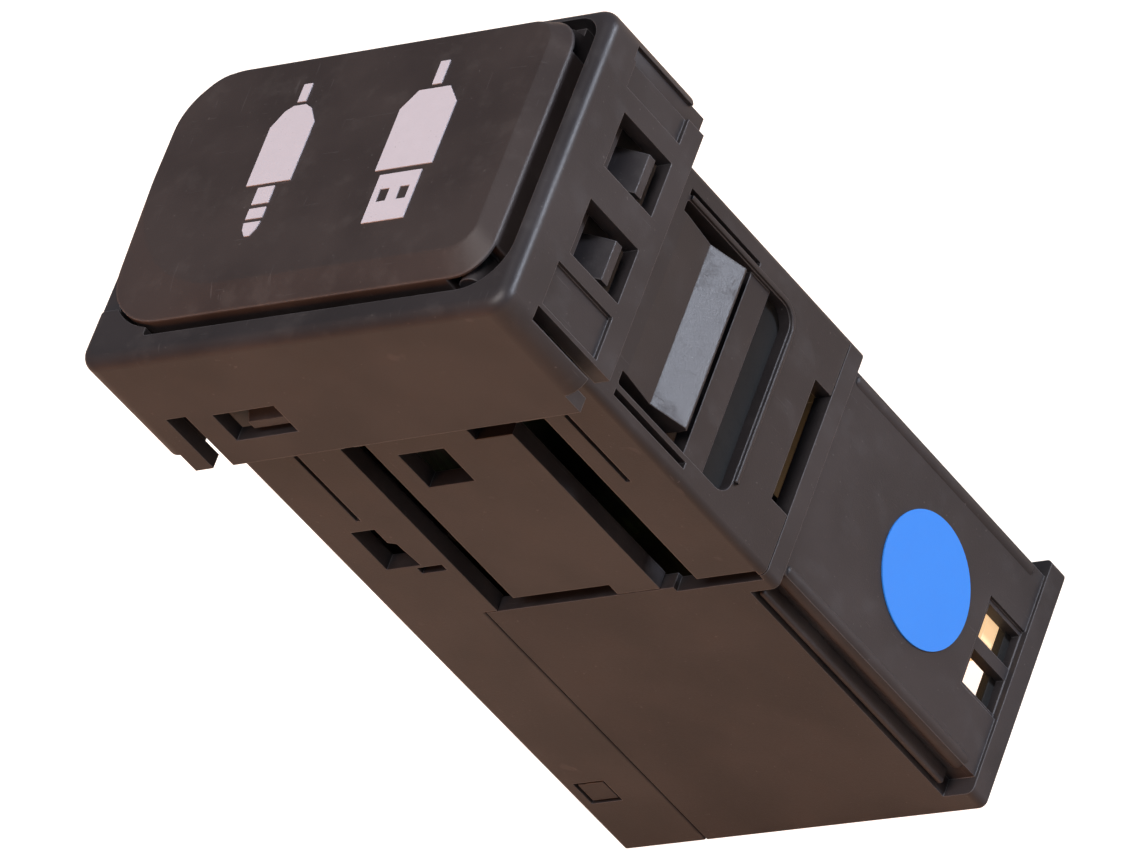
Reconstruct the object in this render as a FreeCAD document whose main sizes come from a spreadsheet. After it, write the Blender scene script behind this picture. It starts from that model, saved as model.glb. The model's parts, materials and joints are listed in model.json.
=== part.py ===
"""Panel module with a USB socket and an audio jack behind a hinged lid.

Frame: X to the right of the lid's signs, Y up along them, Z out of the panel.
The origin is the middle of the rear end, so the module stands on that end.
"""
import FreeCAD, Part
import os
import re
import Sketcher

SIZES = {
    # overall form
    "total_depth": 67.0,
    "face_rise": 0.8,
    "bezel_margin_across": 2.6,
    "bezel_margin_up": 2.95,
    "body_width": 35.8,
    "body_height": 22.1,
    "body_wall": 1.5,
    "body_round": 0.6,
    "overcut": 1.0,
    # bezel
    "skirt_depth": 12.6,
    "skirt_wall": 1.45,
    "front_wall": 3.4,
    "bezel_corner": 1.8,
    "bezel_large_corner": 4.2,
    "bezel_edge_round": 1.0,
    "post_width": 1.75,
    "post_setback": 2.0,
    "bar_drop": 0.55,
    "bar_start_margin": 5.1,
    # snap windows of the skirt and the lugs in them
    "window_setback": 4.4,
    "window_depth": 6.2,
    "window_width": 5.0,
    "window_pitch": 8.05,
    "window_middle": 0.7,
    "floor_window_margin": 7.9,
    "floor_window_width": 6.1,
    "floor_window_setback": 6.8,
    "floor_window_depth": 3.2,
    "lug_depth": 2.3,
    "lug_width": 3.6,
    "lug_setback": 7.0,
    "lug_reveal": 0.35,
    "skirt_fit": 0.1,
    "collar_depth": 2.8,
    # slots and shallow fields of the skirt
    "side_slot_margin": 1.3,
    "side_slot_width": 1.3,
    "side_slot_setback": 3.4,
    "floor_slot_margin": 3.5,
    "floor_slot_width": 2.0,
    "floor_slot_setback": 6.5,
    "field_depth": 0.35,
    "field_setback": 3.7,
    "low_field_margin": 3.0,
    "low_field_height": 3.9,
    "high_field_height": 3.35,
    "high_field_margin": 1.6,
    # lid
    "lid_left_margin": 1.1,
    "lid_right_margin": 2.6,
    "lid_low_margin": 3.1,
    "lid_high_margin": 1.2,
    "lid_left_corner": 6.0,
    "lid_right_corner": 3.0,
    "lid_high_corner": 5.4,
    "lid_side_gap": 0.3,
    "lid_gap": 0.95,
    "finger_gap": 1.5,
    "finger_gap_margin": 5.9,
    "finger_gap_corner": 4.0,
    "finger_gap_high_corner": 2.2,
    "lid_proud": 0.35,
    "lid_dome": 0.9,
    "lid_band_low": 2.1,
    "lid_band_high": 0.5,
    "lid_band_left": 0.6,
    "lid_band_right": 1.5,
    "lid_top_large_corner": 11.5,
    "lid_top_left_corner": 5.1,
    "lid_top_right_corner": 2.2,
    "lid_rim_setback": 1.8,
    "lid_rim_width": 1.2,
    "lid_skin": 1.0,
    # hinge of the lid
    "hinge_below_face": 1.1,
    "hinge_inset": 2.0,
    "hinge_low_inset": 2.5,
    "hinge_high_inset": 2.9,
    "stub_radius": 0.6,
    "stub_clearance": 0.05,
    "stub_reach": 1.9,
    "cheek_radius": 1.1,
    "cheek_gap": 0.15,
    "cheek_reach": 4.0,
    "arm_width": 1.5,
    "rim_notch": 0.5,
    # printed signs on the lid
    "print_thickness": 0.08,
    "sign_unit": 1.0,
    "jack_sign_middle": -6.5,
    "jack_sign_foot": -5.15,
    "plug_sign_middle": 6.75,
    "plug_sign_foot": -5.6,
    # casing
    "casing_length": 36.6,
    "strip_width": 8.4,
    "end_wall": 1.4,
    "end_opening_left_lip": 3.2,
    "end_opening_right_lip": 0.2,
    "end_opening_low_lip": 1.55,
    "end_opening_high_lip": 0.85,
    # side latches
    "pocket_low_margin": 2.25,
    "pocket_high_margin": 2.7,
    "pocket_front_setback": 15.8,
    "pocket_rear_setback": 30.1,
    "pocket_corner": 1.5,
    "latch_low_gap": 1.2,
    "latch_high_gap": 1.05,
    "latch_dip": 0.4,
    "latch_rise": 0.7,
    "latch_thickness": 1.4,
    "ramp_front_setback": 19.9,
    "ramp_rear_setback": 23.4,
    "bridge_front_setback": 24.7,
    "bridge_rear_setback": 27.2,
    "bridge_drop": 0.3,
    "bridge_thickness": 1.4,
    "groove_width": 0.6,
    "groove_gap": 0.45,
    "groove_depth": 1.0,
    "groove_rear_setback": 25.0,
    # openings in the casing's floor
    "channel_front_setback": 15.9,
    "left_channel_margin": 8.2,
    "left_channel_width": 2.5,
    "right_channel_margin": 8.65,
    "right_channel_width": 3.95,
    "cross_slot_width": 1.2,
    "flap_slot_gap": 4.05,
    "head_slot_lead": 3.55,
    "slit_width": 0.45,
    "left_slit_margin": 3.5,
    "right_slit_margin": 2.9,
    "slit_rear_setback": 24.2,
    "hole_gap": 2.0,
    "hole_width": 4.5,
    "hole_front_setback": 17.5,
    "hole_rear_setback": 21.6,
    "step_hole_margin": 2.0,
    "step_hole_front_setback": 25.4,
    "step_hole_rear_setback": 30.2,
    "short_slot_margin": 4.8,
    "short_slot_width": 2.5,
    "edge_notch_half": 5.6,
    "edge_notch_depth": 2.1,
    # rear cover
    "cover_gap": 0.1,
    "cover_seam": 0.1,
    "cover_wall": 1.4,
    "corner_step_width": 2.75,
    "corner_step_height": 1.6,
    "collar_band": 1.7,
    "flange_band": 1.9,
    "panel_drop": 0.3,
    "peep_low": -3.65,
    "peep_bar_low": -0.5,
    "peep_bar_high": 0.6,
    "peep_high": 3.7,
    "peep_rear": 2.0,
    "peep_front": 6.3,
    "peep_frame": 0.45,
    "tongue_thickness": 1.1,
    "tongue_rear": 4.9,
    "tongue_front": 9.8,
    "tongue_margin": 1.6,
    "catch_margin": 1.3,
    "catch_width": 3.1,
    "catch_rear": 6.0,
    "catch_front": 8.7,
    "catch_clearance": 0.3,
    # round sticker
    "dot_radius": 5.45,
    "dot_thickness": 0.12,
    "dot_height": 0.3,
    "dot_level": 14.0,
    # plate behind the lid
    "plate_front_setback": 4.4,
    "plate_thickness": 1.6,
    "plate_fit": 0.1,
    # USB socket
    "usb_margin": 9.5,
    "usb_width": 13.2,
    "usb_height": 5.7,
    "usb_depth": 14.2,
    "usb_sheet": 0.3,
    "usb_fit": 0.25,
    "tongue_plate_width": 11.1,
    "tongue_plate_height": 1.84,
    "tongue_plate_lift": 0.8,
    "tongue_plate_setback": 1.4,
    "contact_width": 1.0,
    "contact_pitch": 2.25,
    "contact_thickness": 0.2,
    # audio jack
    "jack_middle": -8.6,
    "jack_bore": 1.8,
    "jack_bush_radius": 3.0,
    "jack_bush_depth": 3.0,
    "jack_width": 6.6,
    "jack_height": 5.7,
    "jack_depth": 12.2,
    "jack_fit": 0.1,
    # circuit board and what stands on it
    "board_margin": 1.2,
    "board_thickness": 1.6,
    "board_rear": 12.2,
    "board_front_setback": 8.6,
    "rail_thickness": 1.2,
    "rail_overlap": 1.0,
    "rail_fit": 0.1,
    "chip_size": 7.0,
    "chip_height": 1.1,
    "can_radius": 2.0,
    "can_height": 5.2,
    "choke_size": 5.0,
    "choke_height": 3.0,
    "part_length": 1.6,
    "part_width": 0.8,
    "part_height": 0.5,
    # rear connector
    "header_half_width": 9.5,
    "header_low": -6.6,
    "header_high": 7.6,
    "header_rear": 1.6,
    "header_depth": 10.6,
    "header_wall": 1.2,
    "ear_low": 2.2,
    "ear_depth": 2.5,
    "ear_gap": 0.9,
    "pin_size": 0.64,
    "pin_pitch": 2.5,
    # rubber pads under the lid
    "bumper_length": 3.0,
    "bumper_gap": 0.4,
    "bumper_half_span": 6.0,
    "bumper_inset": 0.1,
}

PLACES = {
    "bezel_side": "bezel_width / 2",
    "bezel_top": "bezel_height / 2",
    "body_side": "body_width / 2",
    "body_top": "body_height / 2",
    "inner_side": "body_side - body_wall",
    "inner_top": "body_top - body_wall",
    "skirt_end": "total_depth - skirt_depth",
    "front_wall_back": "total_depth - front_wall",
    "skirt_inner_side": "bezel_side - skirt_wall",
    "skirt_inner_top": "bezel_top - skirt_wall",
    "lid_left": "lid_left_margin - bezel_side",
    "lid_right": "bezel_side - lid_right_margin",
    "opening_top": "lid_high + lid_side_gap",
    "hinge_side": "lid_right - hinge_inset",
    "hinge_level": "total_depth - hinge_below_face",
    "window_front": "total_depth - window_setback",
    "floor_window_front": "total_depth - floor_window_setback",
    "lug_front": "total_depth - lug_setback",
    "high_window": "window_middle + window_pitch / 2",
    "low_window": "window_middle - window_pitch / 2",
    "field_front": "total_depth - field_setback",
    "cover_front": "casing_rear - cover_gap",
    "cover_left": "strip_right + cover_seam",
    "panel_side": "body_side - panel_drop",
    "step_side": "body_side - corner_step_width",
    "step_top": "body_top - corner_step_height",
    "cover_inner_side": "panel_side - cover_wall",
    "cover_inner_top": "body_top - cover_wall",
    "plate_back": "plate_front - plate_thickness",
    "board_top": "-usb_height / 2",
    "board_bottom": "board_top - board_thickness",
    "usb_front": "plate_front",
    "usb_rear": "usb_front - usb_depth",
    "jack_front": "plate_back",
    "jack_rear": "jack_front - jack_depth",
    "header_front": "header_rear + header_depth",
    "lean_middle": "total_depth + face_rise / 2",
    "lid_shelf": "lean_middle + lid_proud",
    "lid_crown": "lid_shelf + lid_dome",
    "rim_level": "lean_middle - lid_rim_setback",
    "casing_front": "front_wall_back",
    "plate_side": "inner_side - plate_fit",
    "plate_top": "inner_top - plate_fit",
    "bezel_width": "body_width + 2 * bezel_margin_across",
    "bezel_height": "body_height + 2 * bezel_margin_up",
    "lid_low": "lid_low_margin - bezel_top",
    "lid_high": "bezel_top - lid_high_margin",
    "hinge_low": "lid_low + hinge_low_inset",
    "hinge_high": "lid_high - hinge_high_inset",
    "bar_start": "bar_start_margin - bezel_top",
    "finger_gap_left": "finger_gap_margin - bezel_side",
    "side_slot_low": "side_slot_margin - bezel_top",
    "low_field_bottom": "low_field_margin - bezel_top",
    "low_field_top": "low_field_bottom + low_field_height",
    "high_field_top": "bezel_top - high_field_margin",
    "high_field_bottom": "high_field_top - high_field_height",
    "floor_window_left": "floor_window_margin - bezel_side",
    "floor_slot_left": "floor_slot_margin - bezel_side",
    "casing_rear": "total_depth - casing_length",
    "strip_right": "strip_width - body_side",
    "end_opening_left": "end_opening_left_lip - inner_side",
    "end_opening_right": "cover_inner_side - end_opening_right_lip",
    "end_opening_low": "end_opening_low_lip - inner_top",
    "end_opening_high": "inner_top - end_opening_high_lip",
    "pocket_low": "pocket_low_margin - body_top",
    "pocket_high": "body_top - pocket_high_margin",
    "latch_low": "pocket_low + latch_low_gap",
    "latch_high": "pocket_high - latch_high_gap",
    "pocket_front": "total_depth - pocket_front_setback",
    "pocket_rear": "total_depth - pocket_rear_setback",
    "ramp_front": "total_depth - ramp_front_setback",
    "ramp_rear": "total_depth - ramp_rear_setback",
    "bridge_front": "total_depth - bridge_front_setback",
    "bridge_rear": "total_depth - bridge_rear_setback",
    "groove_rear": "total_depth - groove_rear_setback",
    "channel_front": "total_depth - channel_front_setback",
    "slit_rear": "total_depth - slit_rear_setback",
    "hole_front": "total_depth - hole_front_setback",
    "hole_rear": "total_depth - hole_rear_setback",
    "step_hole_front": "total_depth - step_hole_front_setback",
    "step_hole_rear": "total_depth - step_hole_rear_setback",
    "plate_front": "total_depth - plate_front_setback",
    "board_front": "total_depth - board_front_setback",
    "left_channel_left": "left_channel_margin - inner_side",
    "left_channel_right": "left_channel_left + left_channel_width",
    "right_channel_left": "inner_side - right_channel_margin",
    "flap_slot_right": "right_channel_left - flap_slot_gap",
    "head_slot_left": "right_channel_left - head_slot_lead",
    "left_slit": "left_slit_margin - inner_side",
    "right_slit": "inner_side - right_slit_margin",
    "hole_left": "left_channel_right + hole_gap",
    "step_hole_left": "step_hole_margin - inner_side",
    "short_slot_left": "short_slot_margin - inner_side",
    "tongue_left": "tongue_margin - body_side",
    "catch_left": "catch_margin - body_side",
    "usb_middle": "inner_side - usb_margin",
    "board_half_width": "inner_side - board_margin",
    "ear_reach": "inner_side - ear_gap - header_half_width",
    "rear_gap_left": "inner_side - 7.4 * overcut",
    "rear_gap_right": "body_side - body_round",
    "can_middle": "4.7 * overcut - board_half_width",
    "choke_middle": "board_half_width - 5.7 * overcut",
    "chip_level": "usb_rear - 14.2 * overcut",
}

doc = FreeCAD.newDocument("usb_port_module")
sheet = doc.addObject("Spreadsheet::Sheet", "Sizes")
for row, (alias, number) in enumerate(SIZES.items(), start=1):
    sheet.set(f"A{row}", alias)
    sheet.set(f"B{row}", str(number))
    sheet.setAlias(f"B{row}", alias)
doc.recompute()


def formula(text):
    """Write a rule in the sheet's own names, with the named places spelled out."""
    def spell(match):
        word = match.group()
        if word in PLACES:
            return f"({formula(PLACES[word])})"
        return f"Sizes.{word}" if word in SIZES else word
    return re.sub(r"[a-z_]+", spell, str(text))


def amount(text):
    """The number that a rule gives now."""
    return float(sheet.evalExpression(formula(text)))


def new_body(label):
    """An empty body for one piece."""
    body = doc.addObject("PartDesign::Body", label)
    body.Label = label
    return body


def flat_sketch(body, role, level, name, leans=False):
    """A sketch on one of the body's own planes, shifted along its normal."""
    sketch = body.newObject("Sketcher::SketchObject", f"{body.Name}_{name}_lines")
    plane = next(item for item in body.Origin.OriginFeatures if item.Role == role)
    sketch.AttachmentSupport = [(plane, "")]
    sketch.MapMode = "FlatFace"
    if leans:
        turn = FreeCAD.Rotation(FreeCAD.Vector(0, 1, 0), 1)
        sketch.AttachmentOffset = FreeCAD.Placement(FreeCAD.Vector(), turn)
        lean = formula("atan(face_rise / bezel_width)")
        sketch.setExpression("AttachmentOffset.Rotation.Angle", lean)
    sketch.setExpression("AttachmentOffset.Base.z", formula(level))
    return sketch


def pin_down(sketch, kind, edge, end, rule):
    """Bind one distance of the sketch to a rule."""
    if kind == "Radius":
        limit = Sketcher.Constraint(kind, edge, amount(rule))
    else:
        limit = Sketcher.Constraint(kind, -1, 1, edge, end, amount(rule))
    index = sketch.addConstraint(limit)
    sketch.setExpression(f"Constraints[{index}]", formula(rule))


def draw_box(sketch, left, right, low, high):
    """A rectangle whose four sides follow the sheet."""
    first = sketch.GeometryCount
    x0, x1, y0, y1 = (amount(rule) for rule in (left, right, low, high))
    corners = [FreeCAD.Vector(x, y, 0) for x, y in ((x0, y0), (x1, y0), (x1, y1), (x0, y1))]
    lines = [Part.LineSegment(corners[i], corners[(i + 1) % 4]) for i in range(4)]
    sketch.addGeometry(lines, False)
    sketch.addConstraint([
        Sketcher.Constraint("Coincident", first + i, 2, first + (i + 1) % 4, 1) for i in range(4)
    ])
    sketch.addConstraint([Sketcher.Constraint("Horizontal", first + i) for i in (0, 2)])
    sketch.addConstraint([Sketcher.Constraint("Vertical", first + i) for i in (1, 3)])
    pin_down(sketch, "DistanceX", first, 1, left)
    pin_down(sketch, "DistanceX", first + 1, 1, right)
    pin_down(sketch, "DistanceY", first, 1, low)
    pin_down(sketch, "DistanceY", first + 2, 1, high)


def draw_rounded(sketch, left, right, low, high, radii):
    """A rectangle with four rounded corners: low left, low right, high right, high left."""
    first = sketch.GeometryCount
    x0, x1, y0, y1 = (amount(rule) for rule in (left, right, low, high))
    low_left, low_right, high_right, high_left = (amount(rule) for rule in radii)
    spot = lambda x, y: FreeCAD.Vector(x, y, 0)
    quarter = 1.5707963267948966

    def corner(x, y, radius, turn):
        circle = Part.Circle(spot(x, y), spot(0, 0) + FreeCAD.Vector(0, 0, 1), radius)
        return Part.ArcOfCircle(circle, turn * quarter, (turn + 1) * quarter)

    sketch.addGeometry([
        Part.LineSegment(spot(x0 + low_left, y0), spot(x1 - low_right, y0)),
        corner(x1 - low_right, y0 + low_right, low_right, -1),
        Part.LineSegment(spot(x1, y0 + low_right), spot(x1, y1 - high_right)),
        corner(x1 - high_right, y1 - high_right, high_right, 0),
        Part.LineSegment(spot(x1 - high_right, y1), spot(x0 + high_left, y1)),
        corner(x0 + high_left, y1 - high_left, high_left, 1),
        Part.LineSegment(spot(x0, y1 - high_left), spot(x0, y0 + low_left)),
        corner(x0 + low_left, y0 + low_left, low_left, 2),
    ], False)
    sketch.addConstraint([
        Sketcher.Constraint("Tangent", first + i, 2, first + (i + 1) % 8, 1) for i in range(8)
    ])
    sketch.addConstraint([Sketcher.Constraint("Horizontal", first + i) for i in (0, 4)])
    sketch.addConstraint([Sketcher.Constraint("Vertical", first + i) for i in (2, 6)])
    pin_down(sketch, "DistanceY", first, 1, low)
    pin_down(sketch, "DistanceX", first + 2, 1, right)
    pin_down(sketch, "DistanceY", first + 4, 1, high)
    pin_down(sketch, "DistanceX", first + 6, 1, left)
    for corner_index, rule in ((1, radii[1]), (3, radii[2]), (5, radii[3]), (7, radii[0])):
        pin_down(sketch, "Radius", first + corner_index, None, rule)


def draw_circle(sketch, across, up, radius):
    """A circle whose middle and radius follow the sheet."""
    middle = FreeCAD.Vector(amount(across), amount(up), 0)
    circle = Part.Circle(middle, FreeCAD.Vector(0, 0, 1), amount(radius))
    index = sketch.addGeometry(circle, False)
    pin_down(sketch, "DistanceX", index, 3, across)
    pin_down(sketch, "DistanceY", index, 3, up)
    pin_down(sketch, "Radius", index, None, radius)


def draw_path(sketch, points):
    """A closed run of straight edges through points that follow the sheet."""
    first = sketch.GeometryCount
    count = len(points)
    spots = [FreeCAD.Vector(amount(x), amount(y), 0) for x, y in points]
    edges = [Part.LineSegment(spots[i], spots[(i + 1) % count]) for i in range(count)]
    sketch.addGeometry(edges, False)
    sketch.addConstraint([
        Sketcher.Constraint("Coincident", first + i, 2, first + (i + 1) % count, 1)
        for i in range(count)
    ])
    for i, (x, y) in enumerate(points):
        pin_down(sketch, "DistanceX", first + i, 1, x)
        pin_down(sketch, "DistanceY", first + i, 1, y)


def pad(body, sketch, name, length, backwards=False):
    """Add what the sketch sweeps along its normal, or against it."""
    feature = body.newObject("PartDesign::Pad", f"{body.Name}_{name}")
    feature.Profile = sketch
    feature.Reversed = backwards
    feature.setExpression("Length", formula(length))
    return feature


def pocket(body, sketch, name, length, forwards=False):
    """Take away what the sketch sweeps against its normal, or along it."""
    feature = body.newObject("PartDesign::Pocket", f"{body.Name}_{name}")
    feature.Profile = sketch
    feature.Reversed = forwards
    feature.setExpression("Length", formula(length))
    return feature


def cut_profile(body, name, low, depth, points):
    """Take away a profile given in X and Z, swept upwards along Y."""
    sketch = flat_sketch(body, "XZ_Plane", f"-({low})", name)
    draw_path(sketch, points)
    return pocket(body, sketch, name, depth)


def add_profile(body, name, low, high, points):
    """Add a profile given in X and Z between two levels of Y."""
    sketch = flat_sketch(body, "XZ_Plane", f"-({high})", name)
    draw_path(sketch, points)
    return pad(body, sketch, name, f"({high}) - ({low})")


def add_plate(body, name, low, high, boxes):
    """Blocks between two levels of Y, each given in X and Z."""
    sketch = flat_sketch(body, "XZ_Plane", f"-({high})", name)
    for box in boxes:
        draw_box(sketch, *box)
    return pad(body, sketch, name, f"({high}) - ({low})")


def add_bar(body, name, left, right, points):
    """Add a profile given in Y and Z between two places along X."""
    sketch = flat_sketch(body, "YZ_Plane", left, name)
    draw_path(sketch, points)
    return pad(body, sketch, name, f"({right}) - ({left})")


def add_rod(body, name, role, start, end, across, up, radius):
    """Add a round rod between two levels of a plane's normal."""
    sketch = flat_sketch(body, role, start, name)
    draw_circle(sketch, across, up, radius)
    return pad(body, sketch, name, f"({end}) - ({start})")


def cut_rod(body, name, role, start, end, across, up, radius):
    """Cut a round hole between two levels of a plane's normal."""
    sketch = flat_sketch(body, role, end, name)
    draw_circle(sketch, across, up, radius)
    return pocket(body, sketch, name, f"({end}) - ({start})")


def add_rounded(body, name, low, high, outline, radii):
    """A block with rounded upright corners between two levels of Z."""
    sketch = flat_sketch(body, "XY_Plane", low, name)
    draw_rounded(sketch, *outline, radii)
    return pad(body, sketch, name, f"({high}) - ({low})")


def cut_rounded(body, name, low, high, outline, radii):
    """A hole with rounded upright corners between two levels of Z."""
    sketch = flat_sketch(body, "XY_Plane", high, name)
    draw_rounded(sketch, *outline, radii)
    return pocket(body, sketch, name, f"({high}) - ({low})")


def add_blocks(body, name, low, high, boxes):
    """Blocks between two levels of Z, each given as left, right, low and high rules."""
    sketch = flat_sketch(body, "XY_Plane", low, name)
    for box in boxes:
        draw_box(sketch, *box)
    return pad(body, sketch, name, f"({high}) - ({low})")


def cut_blocks(body, name, low, high, boxes):
    """Rectangular holes between two levels of Z."""
    sketch = flat_sketch(body, "XY_Plane", high, name)
    for box in boxes:
        draw_box(sketch, *box)
    return pocket(body, sketch, name, f"({high}) - ({low})")


def cut_from_below(body, name, start, depth, boxes):
    """Rectangular holes cut upwards along Y, each given in X and Z."""
    sketch = flat_sketch(body, "XZ_Plane", f"-({start})", name)
    for box in boxes:
        draw_box(sketch, *box)
    return pocket(body, sketch, name, depth)


def cut_from_right(body, name, start, depth, boxes):
    """Rectangular holes cut leftwards along X, each given in Y and Z."""
    sketch = flat_sketch(body, "YZ_Plane", start, name)
    for box in boxes:
        draw_box(sketch, *box)
    return pocket(body, sketch, name, depth)


def cut_from_left(body, name, start, depth, boxes):
    """Rectangular holes cut rightwards along X, each given in Y and Z."""
    sketch = flat_sketch(body, "YZ_Plane", f"-({start})", name)
    for box in boxes:
        draw_box(sketch, *box)
    return pocket(body, sketch, name, depth, forwards=True)


def round_edges(body, name, radius, choose):
    """Fillet the edges of the body's present solid that a test picks."""
    doc.recompute()
    base = body.Tip
    picked = [f"Edge{i}" for i, edge in enumerate(base.Shape.Edges, start=1) if choose(edge)]
    feature = body.newObject("PartDesign::Fillet", f"{body.Name}_{name}")
    feature.Base = (base, picked)
    feature.setExpression("Radius", formula(radius))
    doc.recompute()
    return feature


def runs_along_z(edge):
    """True for an upright straight edge."""
    box = edge.BoundBox
    return box.XLength < 0.01 and box.YLength < 0.01


def lean_level(across):
    """Level of the leaning front face at one place across the module."""
    return f"total_depth + face_rise * (bezel_side - ({across})) / bezel_width"


def turned(ends):
    """Two ends of a stretch, counted the other way along their axis."""
    return [f"-({end})" for end in reversed(ends)]


def hinge_span(end, start, finish):
    """Low and high Y of a stretch that runs outwards from the face of one hinge arm."""
    if end == "high":
        return f"hinge_high + ({start})", f"hinge_high + ({finish})"
    return f"hinge_low - ({finish})", f"hinge_low - ({start})"


def make_bezel():
    """Front frame with its skirt, snap windows and hinge cheeks."""
    body = new_body("bezel")
    outline = ("-bezel_side", "bezel_side", "-bezel_top", "bezel_top")
    corners = ("bezel_corner", "bezel_corner", "bezel_corner", "bezel_large_corner")
    add_rounded(body, "block", "skirt_end", "total_depth + face_rise", outline, corners)
    cut_profile(body, "lean", "-bezel_top - overcut", "bezel_height + 2 * overcut", (
        ("bezel_side + overcut", lean_level("bezel_side + overcut")),
        ("bezel_side + overcut", "total_depth + 3 * overcut"),
        ("-bezel_side - overcut", "total_depth + 3 * overcut"),
        ("-bezel_side - overcut", lean_level("-bezel_side - overcut")),
    ))
    face = amount("total_depth") - 0.05

    def on_rim(edge):
        return edge.BoundBox.ZMin > face and not runs_along_z(edge)

    round_edges(body, "front_round", "bezel_edge_round", on_rim)
    cut_profile(body, "left_bar", "bar_start", "bezel_height", (
        ("-bezel_side - overcut", lean_level("-bezel_side") + " - bar_drop"),
        ("-bezel_side", lean_level("-bezel_side") + " - bar_drop"),
        ("lid_left + lid_left_corner", lean_level("lid_left + lid_left_corner")),
        ("lid_left + lid_left_corner", "total_depth + 3 * overcut"),
        ("-bezel_side - overcut", "total_depth + 3 * overcut"),
    ))
    hollow = ("-skirt_inner_side", "skirt_inner_side", "-skirt_inner_top", "skirt_inner_top")
    inner = "bezel_corner - overcut"
    large = "bezel_large_corner - skirt_wall"
    cut_rounded(body, "hollow", "skirt_end", "front_wall_back", hollow, (inner, inner, inner, large))
    high = "total_depth + 3 * overcut"
    gap = "lid_side_gap"
    cut_rounded(body, "opening", "front_wall_back", high, (
        f"lid_left - {gap}", f"lid_right + {gap}", f"lid_low - {gap}", "opening_top",
    ), (
        f"lid_left_corner + {gap}", f"lid_right_corner + {gap}",
        f"lid_right_corner + {gap}", f"lid_high_corner + {gap}",
    ))
    cut_rounded(body, "finger_opening", "front_wall_back", high, (
        "finger_gap_left", "lid_right + finger_gap", "lid_low - lid_gap", "opening_top",
    ), (gap, "finger_gap_corner", "finger_gap_high_corner", gap))
    post = "skirt_end + post_setback"
    post_side = "bezel_side - post_width"
    post_top = "-side_slot_low"
    cut_blocks(body, "post_ends", "skirt_end", post, [
        (*across, *up)
        for across in ((post_side, "bezel_side + overcut"), ("-bezel_side - overcut", f"-({post_side})"))
        for up in (("-bezel_top - overcut", "side_slot_low"), (post_top, "bezel_top + overcut"))
    ])
    across = "bezel_width + 2 * overcut"
    window_rear = "window_front - window_depth"
    slot_low, slot_high = "side_slot_low", "side_slot_low + side_slot_width"
    slot_front = "total_depth - side_slot_setback"
    cut_from_right(body, "side_windows", "bezel_side + overcut", across, [
        (f"{middle} - window_width / 2", f"{middle} + window_width / 2", window_rear, "window_front")
        for middle in ("low_window", "high_window")
    ] + [
        (slot_low, slot_high, "skirt_end - overcut", slot_front),
        (f"-({slot_high})", f"-({slot_low})", "skirt_end - overcut", slot_front),
    ])
    cut_from_below(body, "floor_windows", "-bezel_top - overcut", "bezel_height + 2 * overcut", [
        ("floor_window_left", "floor_window_left + floor_window_width",
         "floor_window_front - floor_window_depth", "floor_window_front"),
        ("floor_slot_left", "floor_slot_left + floor_slot_width",
         "skirt_end - overcut", "total_depth - floor_slot_setback"),
    ])
    fields = [
        ("low_field_bottom", "low_field_top", post, "field_front"),
        ("high_field_bottom", "high_field_top", post, "field_front"),
    ]
    depth = "field_depth + overcut"
    cut_from_right(body, "right_fields", "bezel_side + overcut", depth, fields)
    cut_from_left(body, "left_fields", "bezel_side + overcut", depth, fields)
    side = ("hinge_side - cheek_radius", "hinge_side + cheek_radius")
    axis = ("hinge_side", "hinge_level")
    for end in ("low", "high"):
        foot = hinge_span(end, "cheek_gap", "cheek_reach")
        add_plate(body, f"{end}_cheek", *foot, [
            (*side, "casing_front + lid_side_gap", "hinge_level"),
        ])
        eye = hinge_span(end, "cheek_gap", "stub_reach + 4 * cheek_gap")
        add_rod(body, f"{end}_cheek_eye", "XZ_Plane", *turned(eye), *axis, "cheek_radius")
        bore = hinge_span(end, "0", "stub_reach + 2 * cheek_gap")
        cut_rod(body, f"{end}_cheek_bore", "XZ_Plane", *turned(bore), *axis,
                "stub_radius + stub_clearance")
    return body


def lid_outline():
    """Outline of the lid and its corner radii."""
    return ("lid_left", "lid_right", "lid_low", "lid_high"), (
        "lid_left_corner", "lid_right_corner", "lid_right_corner", "lid_high_corner",
    )


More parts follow.
